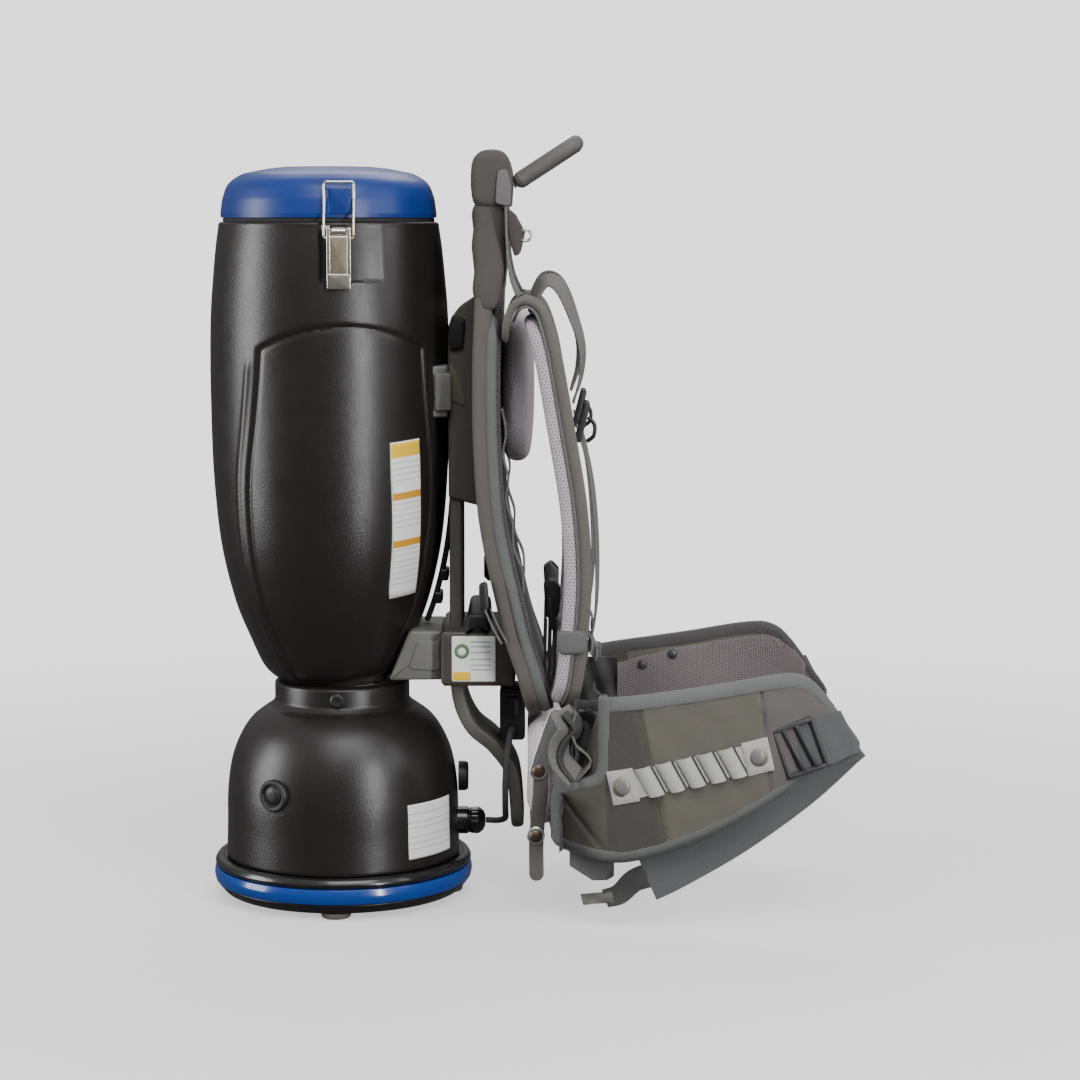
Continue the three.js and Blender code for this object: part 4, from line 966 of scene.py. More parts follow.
def make_hopper():
    """The hopper's moulded shell: a fine grid round its skin, then the rim and the inner wall."""
    z = np.concatenate([np.linspace(HOPPER_LOW, 200, 8)[:-1], np.linspace(200, RIM - 2.5, HOPPER_ROWS)])
    a = np.linspace(0, 2 * np.pi, HOPPER_COLUMNS, endpoint=False)
    radius = hopper_radius(z)[:, None] + 0 * a
    radius = radius - hopper_relief(a[None] + 0 * radius, z[:, None] + 0 * radius)
    edge = radius[-1]
    lip = np.array([[0.1, -1.2], [-0.3, -0.2], [-1.2, 0.7], [-2.8, 1.2], [-4.2, 1.2], [-5.0, 0]])
    rim_radius = edge[None] + lip[:, :1]
    inner_z = np.linspace(RIM - 8, HOPPER_LOW + 8, 30)
    inner = np.minimum(hopper_radius(inner_z)[:, None] - 6.5, edge[None].min() + 30) + 0 * a
    all_r = np.vstack([radius, rim_radius, inner, np.full((2, HOPPER_COLUMNS), 28.0)])
    all_z = np.concatenate([z, RIM + lip[:, 1], inner_z, [HOPPER_LOW + 6, HOPPER_LOW]])[:, None] + 0 * a
    rows = np.stack([HOPPER_X + all_r * np.cos(a), all_r * np.sin(a), all_z], -1)
    crease(Body().shell(rows, wrap_rows=True).build(
        "hopper_shell", charcoal, slot="body_charcoal", replaces=["body_shell"]), 40)


LATCH_X = sum(corner[0] for corner in node_mm("latch_lever_right")) / 2
CATCH_TOP = 613.3


def lid_profile():
    """Half outline of the lid: a slightly flared skirt, a round shoulder and a nearly flat crown."""
    r, top = LID_RADIUS, LID_TOP
    return fillet([[r - 0.4, LID_LOW - 2.4], [r, LID_LOW + 1], [r - 1.6, LID_LOW + 13], [r - 6, LID_LOW + 27],
                   [r - 19, top - 5.6], [r - 42, top - 1.2], [38, top], [34, top - 0.8], [33.5, top - 12],
                   [25.2, top - 12], [25.2, top - 15]],
                  [0.4, 2, 22, 26, 26, 60, 3, 1.5, 1, 0.5, 0], steps=10, closed=False)


def make_lid():
    """The blue lid: skirt, shoulder, crown and inlet recess, with a catch ledge on each side."""
    outer = lid_profile()
    r = LID_RADIUS
    inner = [[30, LID_TOP - 16], [38, LID_TOP - 5], [r - 40, LID_TOP - 6], [r - 21, LID_TOP - 10],
             [r - 11, LID_LOW + 24], [r - 6, LID_LOW + 12], [r - 4, LID_LOW], [r - 2.2, LID_LOW - 2.4]]
    rows = turned_rows(np.vstack([outer, spline(inner, 24)]), LID_X, sides=256)
    lid = Body().shell(rows, wrap_rows=True)
    for _, side in SIDES:
        block = box_outline((LATCH_X - 9, LID_LOW + 0.6), (LATCH_X + 9, CATCH_TOP), 1.2)
        lid.shell(prism_rows(block, side * (r - 22), side * (r + 0.4), 0.7))
        low = box_outline((LATCH_X - 11.5, LID_LOW), (LATCH_X + 11.5, LID_LOW + 14), 2)
        lid.shell(prism_rows(low, side * (r - 22), side * (r + 0.1), 0.5))
    crease(lid.build("lid_shell", lid_blue, "lid", "lid_blue", ["lid"]), 50)
    gasket = fillet([[84, RIM + 0.4], [r - 2.4, RIM + 0.4], [r - 1.8, RIM + 3], [r - 3.4, LID_LOW - 0.4],
                     [84, LID_LOW - 0.4]], [0.5, 1.4, 1.5, 1, 0.5])
    Body().shell(turned_rows(gasket, LID_X, sides=160), wrap_rows=True).build(
        "rim_seal", black_rubber, "lid", "rubber_black", ["lid_gasket"])
    low, high = node_mm("hose_swivel")
    cuff = fillet([[19, low[2]], [24, low[2]], [24, LID_TOP - 11.4], [32, LID_TOP - 11.4],
                   [32, LID_TOP - 6.5], [25.5, LID_TOP - 3], [24, high[2]], [19, high[2]]],
                  [0.5, 1, 0.5, 0.8, 1.4, 1.5, 0.8, 1])
    crease(Body().shell(turned_rows(cuff, LID_X, sides=144), wrap_rows=True).build(
        "swivel_cuff", gloss_black, "hose_swivel", "gloss_black", ["hose_swivel"]), 50)


def make_latches():
    """Both draw latches of the lid."""
    for name, side in SIDES:
        (x0, _, z0), (x1, _, z1) = node_mm(f"latch_lever_{name}")
        near, face = sorted(abs(corner[1]) for corner in node_mm(f"latch_lever_{name}"))
        make_lever(name, side, (x0, x1), (z0, z1), near, face)
        make_knuckle(name, side, (x0 + x1) / 2, z1 - 3.6, face)
        make_bail(name, side, (x0 + x1) / 2, face)


def make_lever(name, side, x, z, near, face):
    """A latch's pressed lever: a plate with a wall at each edge, a tab at its foot and a dull inset."""
    (x0, x1), (z0, z1) = x, z
    mid = (x0 + x1) / 2
    plate = fillet([[x0, z0], [x1, z0], [x1, z1 - 8], [x1 - 0.2, z1 - 7], [x0 + 0.2, z1 - 7],
                    [x0, z1 - 8]], [1.5, 1.5, 0, 0.5, 0.5, 0])
    lever = Body().shell(prism_rows(plate, side * (face - 1.5), side * face, 0.6))
    for edge in (x0, x1 - 3.2):
        wall = box_outline((edge, z0 + 10), (edge + 3.2, z1), 1.2)
        lever.shell(prism_rows(wall, side * near, side * (face + 0.6), 0.6))
    tab = box_outline((x0 + 0.2, z0 - 0.6), (x1 - 0.2, z0 + 12), 1.6)
    lever.shell(prism_rows(tab, side * (face - 1), side * (face + 0.9), 0.7))
    inset = box_outline((mid - 7.2, z0 + 11), (mid + 7.2, z1 - 8.6), 0.6)
    lever.shell(prism_rows(inset, side * (face - 1), side * (face + 0.2), 0.1), slot=1)
    crease(lever.build(f"lever_{name}", [nickel, dull_nickel], f"lever_{name}", "latch_nickel",
                       [f"latch_lever_{name}"]), 40)


def make_knuckle(name, side, mid, pin_z, face):
    """A latch's rolled knuckle round its pin, and the leaf that holds it on the hopper."""
    low, high = node_mm(f"latch_knuckle_{name}")
    a = np.linspace(0, 2 * np.pi, 32, endpoint=False)
    x = np.array([mid - 6, mid - 5.6, mid + 5.6, mid + 6])
    grow = 3.4 * np.array([0.85, 1, 1, 0.85])[:, None]
    knuckle = Body().shell(np.stack([np.broadcast_to(x[:, None], (4, 32)),
                                     side * (face - 2.4) + grow * np.cos(a), pin_z + grow * np.sin(a)], -1))
    leaf = box_outline((mid - 5.6, low[2]), (mid + 5.6, high[2]), 0.8)
    root = min(abs(low[1]), abs(high[1])) + 1
    knuckle.shell(prism_rows(leaf, side * root, side * (face - 2), 0.4))
    crease(knuckle.build(f"knuckle_{name}", nickel, "root", "latch_nickel", [f"latch_knuckle_{name}"]), 40)


def make_bail(name, side, mid, face):
    """A latch's wire bail: from the lever's walls up round the catch of the lid, mirrored about mid."""
    low, high = node_mm(f"latch_bail_{name}")
    wire = 1.15
    arm = (high[0] - low[0]) / 2 - wire
    base_y, top_y = side * (face - 1.7), side * (LID_RADIUS + 1.4)
    za, zb = low[2] + wire, high[2] - wire
    half = [[mid + 10.4, base_y, za], [mid + arm - 1.0, base_y, za], [mid + arm, base_y, za + 1.6],
            [mid + arm, base_y, za + 6], [mid + arm, top_y, zb - 14], [mid + arm, top_y, zb - 2.6],
            [mid + arm - 0.8, top_y, zb - 0.8], [mid + arm - 2.6, top_y, zb]]
    mirrored = [[2 * mid - x, y, z] for x, y, z in half[::-1]]
    bail = tube_rows(half + [[mid, top_y, zb]] + mirrored, wire, 160, 12)
    Body().shell(bail).build(f"bail_{name}", nickel, f"bail_{name}", "latch_nickel",
                             [f"latch_bail_{name}"])


# =============================== frame ===============================

SPINE_ROUTE = [[101, 503], [101, 400], [101, 300], [101, 215], [103, 178], [114, 152], [133, 135], [149, 110],
               [154, 62]]
PANEL_ROUTE = [[132, 603], [131, 556], [130, 520], [128, 470], [128, 415], [131, 357], [136, 320], [146, 274],
               [154, 240], [164, 210], [174, 172]]
STRAP_ROUTE = [[150, 486], [151, 503], [158, 515.5], [169, 511], [177, 486], [183, 456], [191, 410],
               [200, 355], [204, 304], [203, 262], [197, 204], [191, 182]]
STRAP_WEB_ROUTE = [[203.5, 418], [212, 392], [218, 355], [221, 304], [219.5, 258], [212, 224], [204, 190]]
LIFTER_ROUTE = [[144.9, 598], [146, 565], [151, 536], [163, 518.5], [177, 537], [190, 532], [201, 507],
                [208, 482], [207, 458], [200.5, 436]]
STRAP_Y = 85


def make_frame():
    """Spine plate, brackets, box, rear strip, struts and their rivets."""
    plate = Body().shell(strap_rows(SPINE_ROUTE, 75, 11, 2.5, tip=16, count=90))
    crease(plate.build("spine_plate_shell", frame_plastic, slot="frame_grey", replaces=["spine_plate"]), 50)
    upper = Body().shell(prism_rows(box_outline((79, 421), (95, 465), 2.5), -49, 49, 2.5))
    upper.shell(prism_rows(box_outline((84, 427), (98, 459), 2), -51.5, 51.5, 1.5))
    crease(upper.build("upper_mount", bracket_plastic, slot="frame_grey", replaces=["upper_bracket"]), 50)
    wedge = fillet([[43, 195], [89, 195.5], [89, 238], [61, 238]], [2, 2, 2, 6])
    lower = Body().shell(prism_rows(wedge, -45, 45, 2.5))
    lower.shell(prism_rows(fillet([[60, 205], [87, 204], [87, 229], [68, 229]], 3), -46.2, 46.2, 0.6))
    crease(lower.build("lower_mount", bracket_plastic, slot="frame_grey", replaces=["lower_bracket"]), 50)
    box = Body().shell(prism_rows(box_outline((88.5, 193), (152, 240), 4), -60, 60, 3))
    box.shell(prism_rows(box_outline((90.5, 192.4), (150, 196), 1), -58, 58, 1))
    cap = fillet([[108.5, 236], [130.5, 236], [129, 255], [111, 255]], [0.5, 0.5, 5, 5])
    box.shell(prism_rows(cap, -60, 60, 3), slot=1)
    crease(box.build("box_cover", [box_plastic, satin_black], slot="frame_grey",
                     replaces=["bracket_box"]), 50)
    z = np.linspace(415, 241, 20)
    rear = np.stack([HOPPER_X + hopper_radius(z) + 5.5, z], -1)
    strip = Body().shell(strap_rows(rear, 22, 5, 1.6, tip=4, count=60))
    for clip_z in (282, 262):
        x = HOPPER_X + float(hopper_radius(np.array([clip_z]))[0])
        strip.shell(prism_rows(box_outline((x + 4, clip_z - 5), (x + 12, clip_z + 5), 2), -13, 13, 1.2))
    crease(strip.build("rear_strip", gloss_black, slot="gloss_black", replaces=["spine_strip"]), 50)
    for name, side in SIDES:
        outline = bar_outline([[174, 140], [173, 110], [170, 70], [170, 40]], 12.4)
        strut = Body().shell(prism_rows(outline, side * 100, side * 103.7, 0.8))
        arm = bar_outline([[171.5, 128], [178, 148], [189, 172]], [14, 15, 20])
        strut.shell(prism_rows(arm, side * 103.8, side * 106, 0.6), slot=2)
        for x, z in ((172, 128.6), (169.5, 73)):
            strut.shell(facing(turned_rows([[7.6, -2], [7.6, 0.8], [6.8, 1.4], [5.4, 1.4]], sides=36),
                               side * math.pi / 2, 104, 0) + np.array([x, 0, z]), slot=2)
            strut.shell(dome_rows((x, side * 105.4, z), 5.6, 2.6, side), slot=1)
        crease(strut.build(f"strut_{name}", [frame_plastic, rivet_metal, silver], slot="frame_grey",
                           replaces=[f"hip_strut_{name}"]), 40)


LEAD_ROUTE = [[125.3, 0, 63], [128.5, 0, 63], [132, -1, 63], [137, -5, 64], [141.5, -13, 67],
              [143, -23, 71.5], [143, -33, 78.5], [143, -40.5, 89], [143, -43.5, 101],
              [143.5, -44, 114], [144.5, -42.5, 127],
              [146, -38, 138.5], [147.5, -30.5, 146], [148.5, -24, 148.5], [148.5, -20.3, 148.5]]
LEAD_RADIUS = 2.75


def make_lead():
    """The short lead from the gland to the switch box, a round tube along its route."""
    lead = Body().shell(tube_rows(LEAD_ROUTE, LEAD_RADIUS, 90, 14)).build(
        "switch_lead", lead_rubber, slot="rubber_black", replaces=["power_lead"])


def make_switch():
    """The switch box below the bracket and its rocker."""
    box = Body().shell(prism_rows(box_outline((138, 138), (160, 184), 3.5), -20, 20, 2))
    box.shell(prism_rows(box_outline((141.5, 157.5), (156.5, 180.5), 2), -21, 21, 0.6))
    crease(box.build("switch_case", dark_plastic, slot="gloss_black", replaces=["switch_box"]), 50)
    rocker = prism_rows(box_outline((143.6, 160.2), (154.4, 177.8), 1.2), -24.6, -19.8, 0.6)
    hollow = np.clip((rocker[..., 1] + 23) / -1.6, 0, 1)
    rocker[..., 1] += hollow * 1.4 * (1 - ((rocker[..., 2] - 169) / 9)**2)
    rocker = turned_about(rocker, (-15, 169), 8, "X")
    crease(Body().shell(rocker).build(
        "rocker_cap", gloss_black, "rocker", "gloss_black", ["switch_rocker"]), 50)


# =============================== harness ===============================

def make_panel():
    """The long padded back panel: cloth rear, light binding round its rim, dark mesh front."""
    core = Body().shell(strap_rows(PANEL_ROUTE[1:], 198, 15, 5.5, tip=34, lift=-3.6, count=120, flat=25))
    back = core.build("panel_back", panel_cloth, slot="harness_grey", replaces=["back_panel"])
    crease(back, 60)
    lower = [p for p in PANEL_ROUTE if p[1] < 530]
    rim = Body().shell(strap_rows(lower, 203, 9, 4.2, tip=35, lift=4.6, count=110, flat=25))
    crease(rim.build("panel_binding", binding_tape, slot="webbing_grey"), 60)
    front = Body().shell(strap_rows(PANEL_ROUTE[1:], 186, 7, 3.4, tip=30, lift=8.4, count=120, flat=25))
    crease(front.build("panel_front", dark_mesh, slot="mesh_pale"), 60)


def make_neck():
    """The padded piece between the panel and its head, which widens downwards and has soft folds."""
    neck = strap_rows([[131.5, 607], [131.5, 585], [130.8, 560], [129.6, 535], [128.8, 512]],
                      [152, 164, 182, 198, 201], [33, 31, 28, 24.5, 21], 9, tip=6, lift=0.5,
                      count=70, flat=31)
    fold = np.clip((neck[..., 2] - 512) / 12, 0, 1) * np.clip((600 - neck[..., 2]) / 12, 0, 1)
    neck[..., 0] += fold * 0.9 * np.sin(neck[..., 2] * 0.16 + neck[..., 1] * 0.05)
    neck[..., 1] *= 1 + 0.006 * fold * np.sin(neck[..., 0] * 0.9)
    crease(Body().shell(neck).build("panel_neck", head_cloth, slot="harness_dark"), 60)


def make_sleeve():
    """The cloth sleeve that holds the panel on the spine plate, with its olive and black patches."""
    gusset = fillet([[95, 352], [125, 344], [126, 520], [119, 524], [104, 514], [97.5, 505], [95, 490]],
                    [3, 4, 5, 6, 8, 6, 3])
    sleeve = Body().shell(prism_rows(gusset, -41, 41, 3))
    crease(sleeve.build("spine_sleeve", sleeve_cloth, slot="harness_dark", replaces=["spine_gusset"]), 60)
    patch = Body()
    for _, side in SIDES:
        olive = fillet([[96, 436], [110, 430], [106, 452], [100, 464], [96, 466]], 2)
        patch.shell(prism_rows(olive, side * 40.6, side * 42.2, 0.4))
        black = fillet([[96.5, 478], [108, 480], [110, 504], [99, 509], [95.5, 498]], 3)
        patch.shell(prism_rows(black, side * 36, side * 45, 1.5), slot=1)
    crease(patch.build("sleeve_patches", [olive_cloth, satin_black], slot="harness_grey"), 60)


SWELL_STEPS = 20


def swelled(thing, voxel, pressure, cap):
    """Inflates a closed pad as cloth: even voxels, pressure, no gravity, a few steps, a capped move."""
    scene = bpy.context.scene
    remesh = thing.modifiers.new("voxels", "REMESH")
    remesh.mode = "VOXEL"
    remesh.voxel_size = voxel * MM
    remesh.use_smooth_shade = True
    depsgraph = bpy.context.evaluated_depsgraph_get()
    even = bpy.data.meshes.new_from_object(thing.evaluated_get(depsgraph))
    thing.modifiers.clear()
    finish = list(thing.data.materials)
    thing.data = even
    start = np.empty(len(even.vertices) * 3)
    even.vertices.foreach_get("co", start)
    swell = thing.modifiers.new("swell", "CLOTH")
    swell.settings.use_pressure = True
    swell.settings.uniform_pressure_force = pressure
    swell.settings.effector_weights.gravity = 0
    swell.settings.quality = 6
    for step in range(1, SWELL_STEPS + 1):
        scene.frame_set(step)
    depsgraph = bpy.context.evaluated_depsgraph_get()
    full = bpy.data.meshes.new_from_object(thing.evaluated_get(depsgraph))
    end = np.empty(len(full.vertices) * 3)
    full.vertices.foreach_get("co", end)
    bpy.data.meshes.remove(full)
    thing.modifiers.clear()
    scene.frame_set(1)
    move = (end - start).reshape(-1, 3)
    size = np.maximum(np.linalg.norm(move, axis=1, keepdims=True), 1e-9)
    moved = start.reshape(-1, 3) + move * np.minimum(1, cap * MM / size)
    thing.data.vertices.foreach_set("co", moved.ravel())
    thing.data.materials.clear()
    for material in finish:
        thing.data.materials.append(material)
    thing.data.polygons.foreach_set("use_smooth", np.ones(len(thing.data.polygons), bool))
    thing.data.update()
    finer = thing.modifiers.new("finer", "SUBSURF")
    finer.levels = finer.render_levels = 1
    return thing


def make_pads():
    """The head of the panel, the upper back pad and the lumbar pad, each swelled as cloth, and tabs."""
    outline = fillet([[116.5, 597], [147.5, 596], [149, 645.5], [115.5, 645.5]], [8, 8, 12, 14])
    head = Body().shell(prism_rows(outline, -82, 82, 7, 8)).build(
        "head_pad", head_cloth, slot="harness_dark", replaces=["top_pad"])
    swelled(head, 4.5, 3, 5)
    upper = strap_rows([[154, 514], [154, 470], [154, 420], [153, 380]], [92, 94, 84, 60], 21, 9, tip=26,
                       crown=0.1)
    upper = Body().shell(upper).build("upper_pad", pad_mesh_painted_bright, slot="mesh_pale", replaces=["upper_back_pad"])
    swelled(upper, 4, 4, 6)
    lumbar = strap_rows([[177, 168], [178, 140], [178, 105], [176, 75]], 192, 18, 8, tip=26, crown=0.1)
    lumbar = Body().shell(lumbar).build("lower_pad", pad_mesh_painted_bright, slot="mesh_pale", replaces=["lumbar_pad"])
    swelled(lumbar, 4.5, 4, 6)
    tab = Body()
    for _, side in SIDES:
        tab.shell(prism_rows(fillet([[136, 601], [148.5, 598], [149.5, 614], [146, 629], [138, 628]], 3),
                             side * 81, side * 84.5, 0.8))
    crease(tab.build("head_tabs", lilac_cloth, slot="harness_grey"), 60)


def make_handle():
    """The swinging carry handle: a fat round bar bent to a U, with a ribbed grip."""
    reach, lift = 56, math.radians(33)
    out = np.array([math.cos(lift), 0, math.sin(lift)])
    low = node_mm("carry_handle")[0]
    start = np.array([low[0] + 3.5, 0, low[2] + 5.5])

    def spot(y, share):
        """A point of the bar's plane: y across it, a share of its reach outwards."""
        return start + out * reach * share + np.array([0, y, 0])

    half = [spot(46, 0), spot(46, 0.35), spot(46, 0.72), spot(43, 0.93), spot(34, 1.0), spot(17, 1.0)]
    mirrored = [p * [1, -1, 1] for p in half[::-1]]
    rows = tube_rows(np.array(half + [spot(0, 1.0)] + mirrored), 6.5, 170, 20)
    grip = Body().shell(rows)
    for y in np.linspace(-27, 27, 10):
        ring = tube_rows(np.array([spot(y - 1.4, 1.0), spot(y, 1.0), spot(y + 1.4, 1.0)]), 6.9, 5, 20)
        grip.shell(ring)
    for _, side in SIDES:
        grip.shell(dome_rows(spot(side * 46, 0.02), 6.4, 6.0, side))
        pin = [spot(side * 44, share) for share in (-0.13, -0.05, 0.1)]
        grip.shell(tube_rows(np.array(pin), 2.6, 6, 12))
    crease(grip.build("handle_grip", handle_rubber, "handle", "rubber_black", ["carry_handle"]), 50)


def add_lock(body, place, width, height, side_turn):
    """Adds a ladder lock: two side rails and three cross bars, tilted about y, place at its middle."""
    x, y, z = place
    shells = []
    for end in (-1, 1):
        rail = prism_rows(box_outline((x - 2.6, z - height / 2), (x + 2.6, z + height / 2), 2),
                          y + end * width / 2 - 2, y + end * width / 2 + 2, 0.8)
        shells.append(rail)
    for share in (-0.42, 0.02, 0.42):
        bar = [[x, y + end * width / 2, z + share * height] for end in (-1, 0, 1)]
        shells.append(tube_rows(bar, 2.1, 8, 10))
    for rows in shells:
        body.shell(turned_about(rows, (x, z), side_turn))


STRAP_WIDTHS = np.array([50, 52, 54, 56, 60, 62, 62, 62, 62, 60, 50, 42])
STRAP_THICKS = 12.5 * np.array([0.45, 0.5, 0.6, 0.8, 1, 1, 1, 1, 1, 1, 1, 0.9])
TAIL_Y = 58


def make_straps():
    """Both shoulder straps with their webbing, hardware, tails and the tabs of the panel beside them."""
    for name, side in SIDES:
        make_strap_pad(name, side * STRAP_Y)
        make_strap_webbing(name, side)
        make_strap_hardware(name, side)
        make_strap_tail(name, side)
        make_panel_tabs(name, side)


def make_strap_pad(name, y):
    """A shoulder strap in three layers: pale mesh inside, padded cloth outside, binding between them."""
    inner = Body().shell(strap_rows(STRAP_ROUTE[3:], STRAP_WIDTHS[3:], 12, 5.5, y, tip=22, lift=-5.2,
                                    count=110, flat=13))
    crease(inner.build(f"strap_mesh_{name}", pale_mesh, slot="mesh_pale"), 60)
    outer = Body().shell(strap_rows(STRAP_ROUTE, STRAP_WIDTHS - 1.5, STRAP_THICKS, 5, y, tip=18, lift=5.6,
                                    count=130, flat=13))
    crease(outer.build(f"strap_shell_{name}", strap_cloth, slot="harness_grey",
                                 replaces=[f"shoulder_strap_{name}"]), 60)
    seam = Body().shell(strap_rows(STRAP_ROUTE[1:], STRAP_WIDTHS[1:] + 1.2, 2.4, 1.1, y, tip=19, lift=0.4,
                                   count=120, flat=13))
    crease(seam.build(f"strap_binding_{name}", binding_tape, slot="webbing_grey"), 60)


def make_strap_webbing(name, side):
    """The adjusting webbing in front of a strap, and the load lifter from the panel's head to its lock."""
    y = side * STRAP_Y
    web = Body().shell(strap_rows(STRAP_WEB_ROUTE, 25, 2.2, 0.9, y, tip=2, count=90,
                                  roll=[0, .1, .12, .1, .05, 0, 0]))
    crease(web.build(f"strap_web_{name}", strap_webbing, slot="webbing_grey",
                     replaces=[f"strap_webbing_{name}"]), 60)
    roll = np.array([0, 0, .1, .2, .38, .42, .3, .2, .1, 0]) * -side
    lift = Body().shell(strap_rows(LIFTER_ROUTE, 25, 2.2, 0.9, y, tip=2, count=130, roll=roll))
    crease(lift.build(f"lifter_web_{name}", strap_webbing, slot="webbing_grey",
                      replaces=[f"lifter_webbing_{name}"]), 60)


def make_strap_hardware(name, side):
    """A strap's three ladder locks, buckle, keeper with loose folds, wire hook and the lifter's ring."""
    y, tail_y = side * STRAP_Y, side * TAIL_Y
    trim = Body()
    add_lock(trim, (208.5, y, 421), 32, 34, -14)
    add_lock(trim, (164, y, 521), 31, 16, 62)
    add_lock(trim, (182, tail_y, 257), 27, 28, 4)
    buckle = fillet([[176, 281], [183, 286], [190, 279], [189.5, 258], [185, 250], [177.5, 254]], 3)
    trim.shell(prism_rows(buckle, tail_y - 12, tail_y + 12, 2))
    keeper = fillet([[187, 249], [212, 249], [212.5, 229], [187.5, 228]], 6)
    trim.shell(prism_rows(keeper, y - 30.5, y + 30.5, 3), slot=1)
    for k, lean in enumerate((8, -12, 20)):
        route = [[209 + 2 * k, 248 - 3 * k], [216 + 2 * k, 240 - 4 * k], [213 + lean / 3, 226 - 3 * k]]
        trim.shell(strap_rows(route, 24, 2, 0.8, y + 4 * k - 4, count=16), slot=2)
    hook = [[213, y - 12, 425], [218, y - 14, 419], [217.5, y - 14, 410], [212, y - 12, 405]]
    trim.shell(tube_rows(hook, 1.8, 24, 8))
    crease(trim.build(f"strap_hardware_{name}", [satin_black, keeper_web, strap_webbing],
                      slot="gloss_black"), 50)
    ring = [[161 + 4.6 * math.cos(t), side * 91, 574.5 + 4.6 * math.sin(t)]
            for t in np.linspace(0, 2 * math.pi * 0.97, 20)]
    Body().shell(tube_rows(ring, 1.1, 60, 8)).build(f"lifter_ring_{name}", silver, slot="latch_nickel")


def make_strap_tail(name, side):
    """The dark webbing from a strap's buckle down to the belt, and the flap beside the panel's head."""
    tail = Body()
    for shift in (0, 4, 8):
        route = [[178 + shift, 250], [177.5 + shift, 228], [177 + shift, 210], [178 + shift / 2, 186]]
        tail.shell(strap_rows(route, 20, 2.6, 1, side * TAIL_Y, tip=2, count=40))
    crease(tail.build(f"strap_tail_{name}", dark_web, slot="harness_dark"), 60)
    flap = fillet([[145, 599], [152, 592], [160, 577], [156, 559], [152, 557], [149, 566], [146, 580]], 2)
    fold = Body().shell(prism_rows(flap, side * 88, side * 93, 1.6))
    crease(fold.build(f"lifter_flap_{name}", brown_cloth, slot="harness_dark"), 60)


def make_panel_tabs(name, side):
    """The daisy chain up the panel's front, and a black lump with two short webbing ends at its edge."""
    tabs = Body()
    base = spline([spot for spot in PANEL_ROUTE if 270 < spot[1] < 480], 11)[2:]
    chain = np.array([[x + 13 + 3.2 * (k % 2), z] for k, (x, z) in enumerate(base)])
    tabs.shell(strap_rows(chain, 20, 1.8, 0.7, side * 62, count=80))
    lump = fillet([[122, 286], [129, 289], [131, 268], [128, 260], [122, 266]], 3)
    tabs.shell(prism_rows(lump, side * 96, side * 104, 2), slot=1)
    for shift in (0, 4.5):
        end = [[127 + shift, 265], [134 + shift, 249], [141 + shift, 236]]
        tabs.shell(strap_rows(end, 5, 1.6, 0.6, side * (103 - shift), count=20))
    crease(tabs.build(f"panel_tabs_{name}", [strap_webbing, satin_black], slot="webbing_grey"), 60)


TOP_EDGE = [[186, 200], [222, 197], [303, 207], [365, 217], [388, 216], [404, 204], [424, 177], [438, 158]]
LOW_EDGE = [[186, 66], [238, 61], [303, 80], [369, 116], [397, 138], [438, 148]]
WING_OUT = 158
WING_THICK = 16


def edge_z(edge, x):
    """Height of a wing's edge at x."""
    line = spline(edge, 160)
    return np.interp(x, line[:, 0], line[:, 1])


def belt_inset(x):
    """How far the belt's outer face stands in from its widest: it curls in at the back and at the tip."""
    return 42 * np.maximum(0, 1 - (x - 186) / 74)**2 + 24 * np.maximum(0, (x - 330) / 108)**2


SEAMS = (((252, 198), (277, 82)), ((352, 216), (362, 112)), ((190, 112), (226, 70)), ((227, 124), (230, 66)))
WING_REAR = 187
NOTCH_DEPTH = 38
NOTCH_LOW, NOTCH_HIGH = 114, 132


def notched(x, z):
    """Where a point of a wing lies once the wing's upper rear corner is drawn forward, as a round notch."""
    share = np.clip(1 - (x - WING_REAR) / (2 * NOTCH_DEPTH), 0, 1)
    return x + NOTCH_DEPTH * smoothstep(z, NOTCH_LOW, NOTCH_HIGH) * share


def seam_groove(x, z):
    """Depth of the sewn seams: a narrow bell curve of the distance to each seam line."""
    depth = 0 * x
    for (x0, z0), (x1, z1) in SEAMS:
        run = math.hypot(x1 - x0, z1 - z0)
        along = ((x - x0) * (x1 - x0) + (z - z0) * (z1 - z0)) / run
        away = ((x - x0) * (z1 - z0) - (z - z0) * (x1 - x0)) / run
        near = np.exp(-(away / 2.0)**2) * smoothstep(along, -6, 2) * smoothstep(along, run + 6, run - 2)
        depth = np.maximum(depth, near)
    return depth


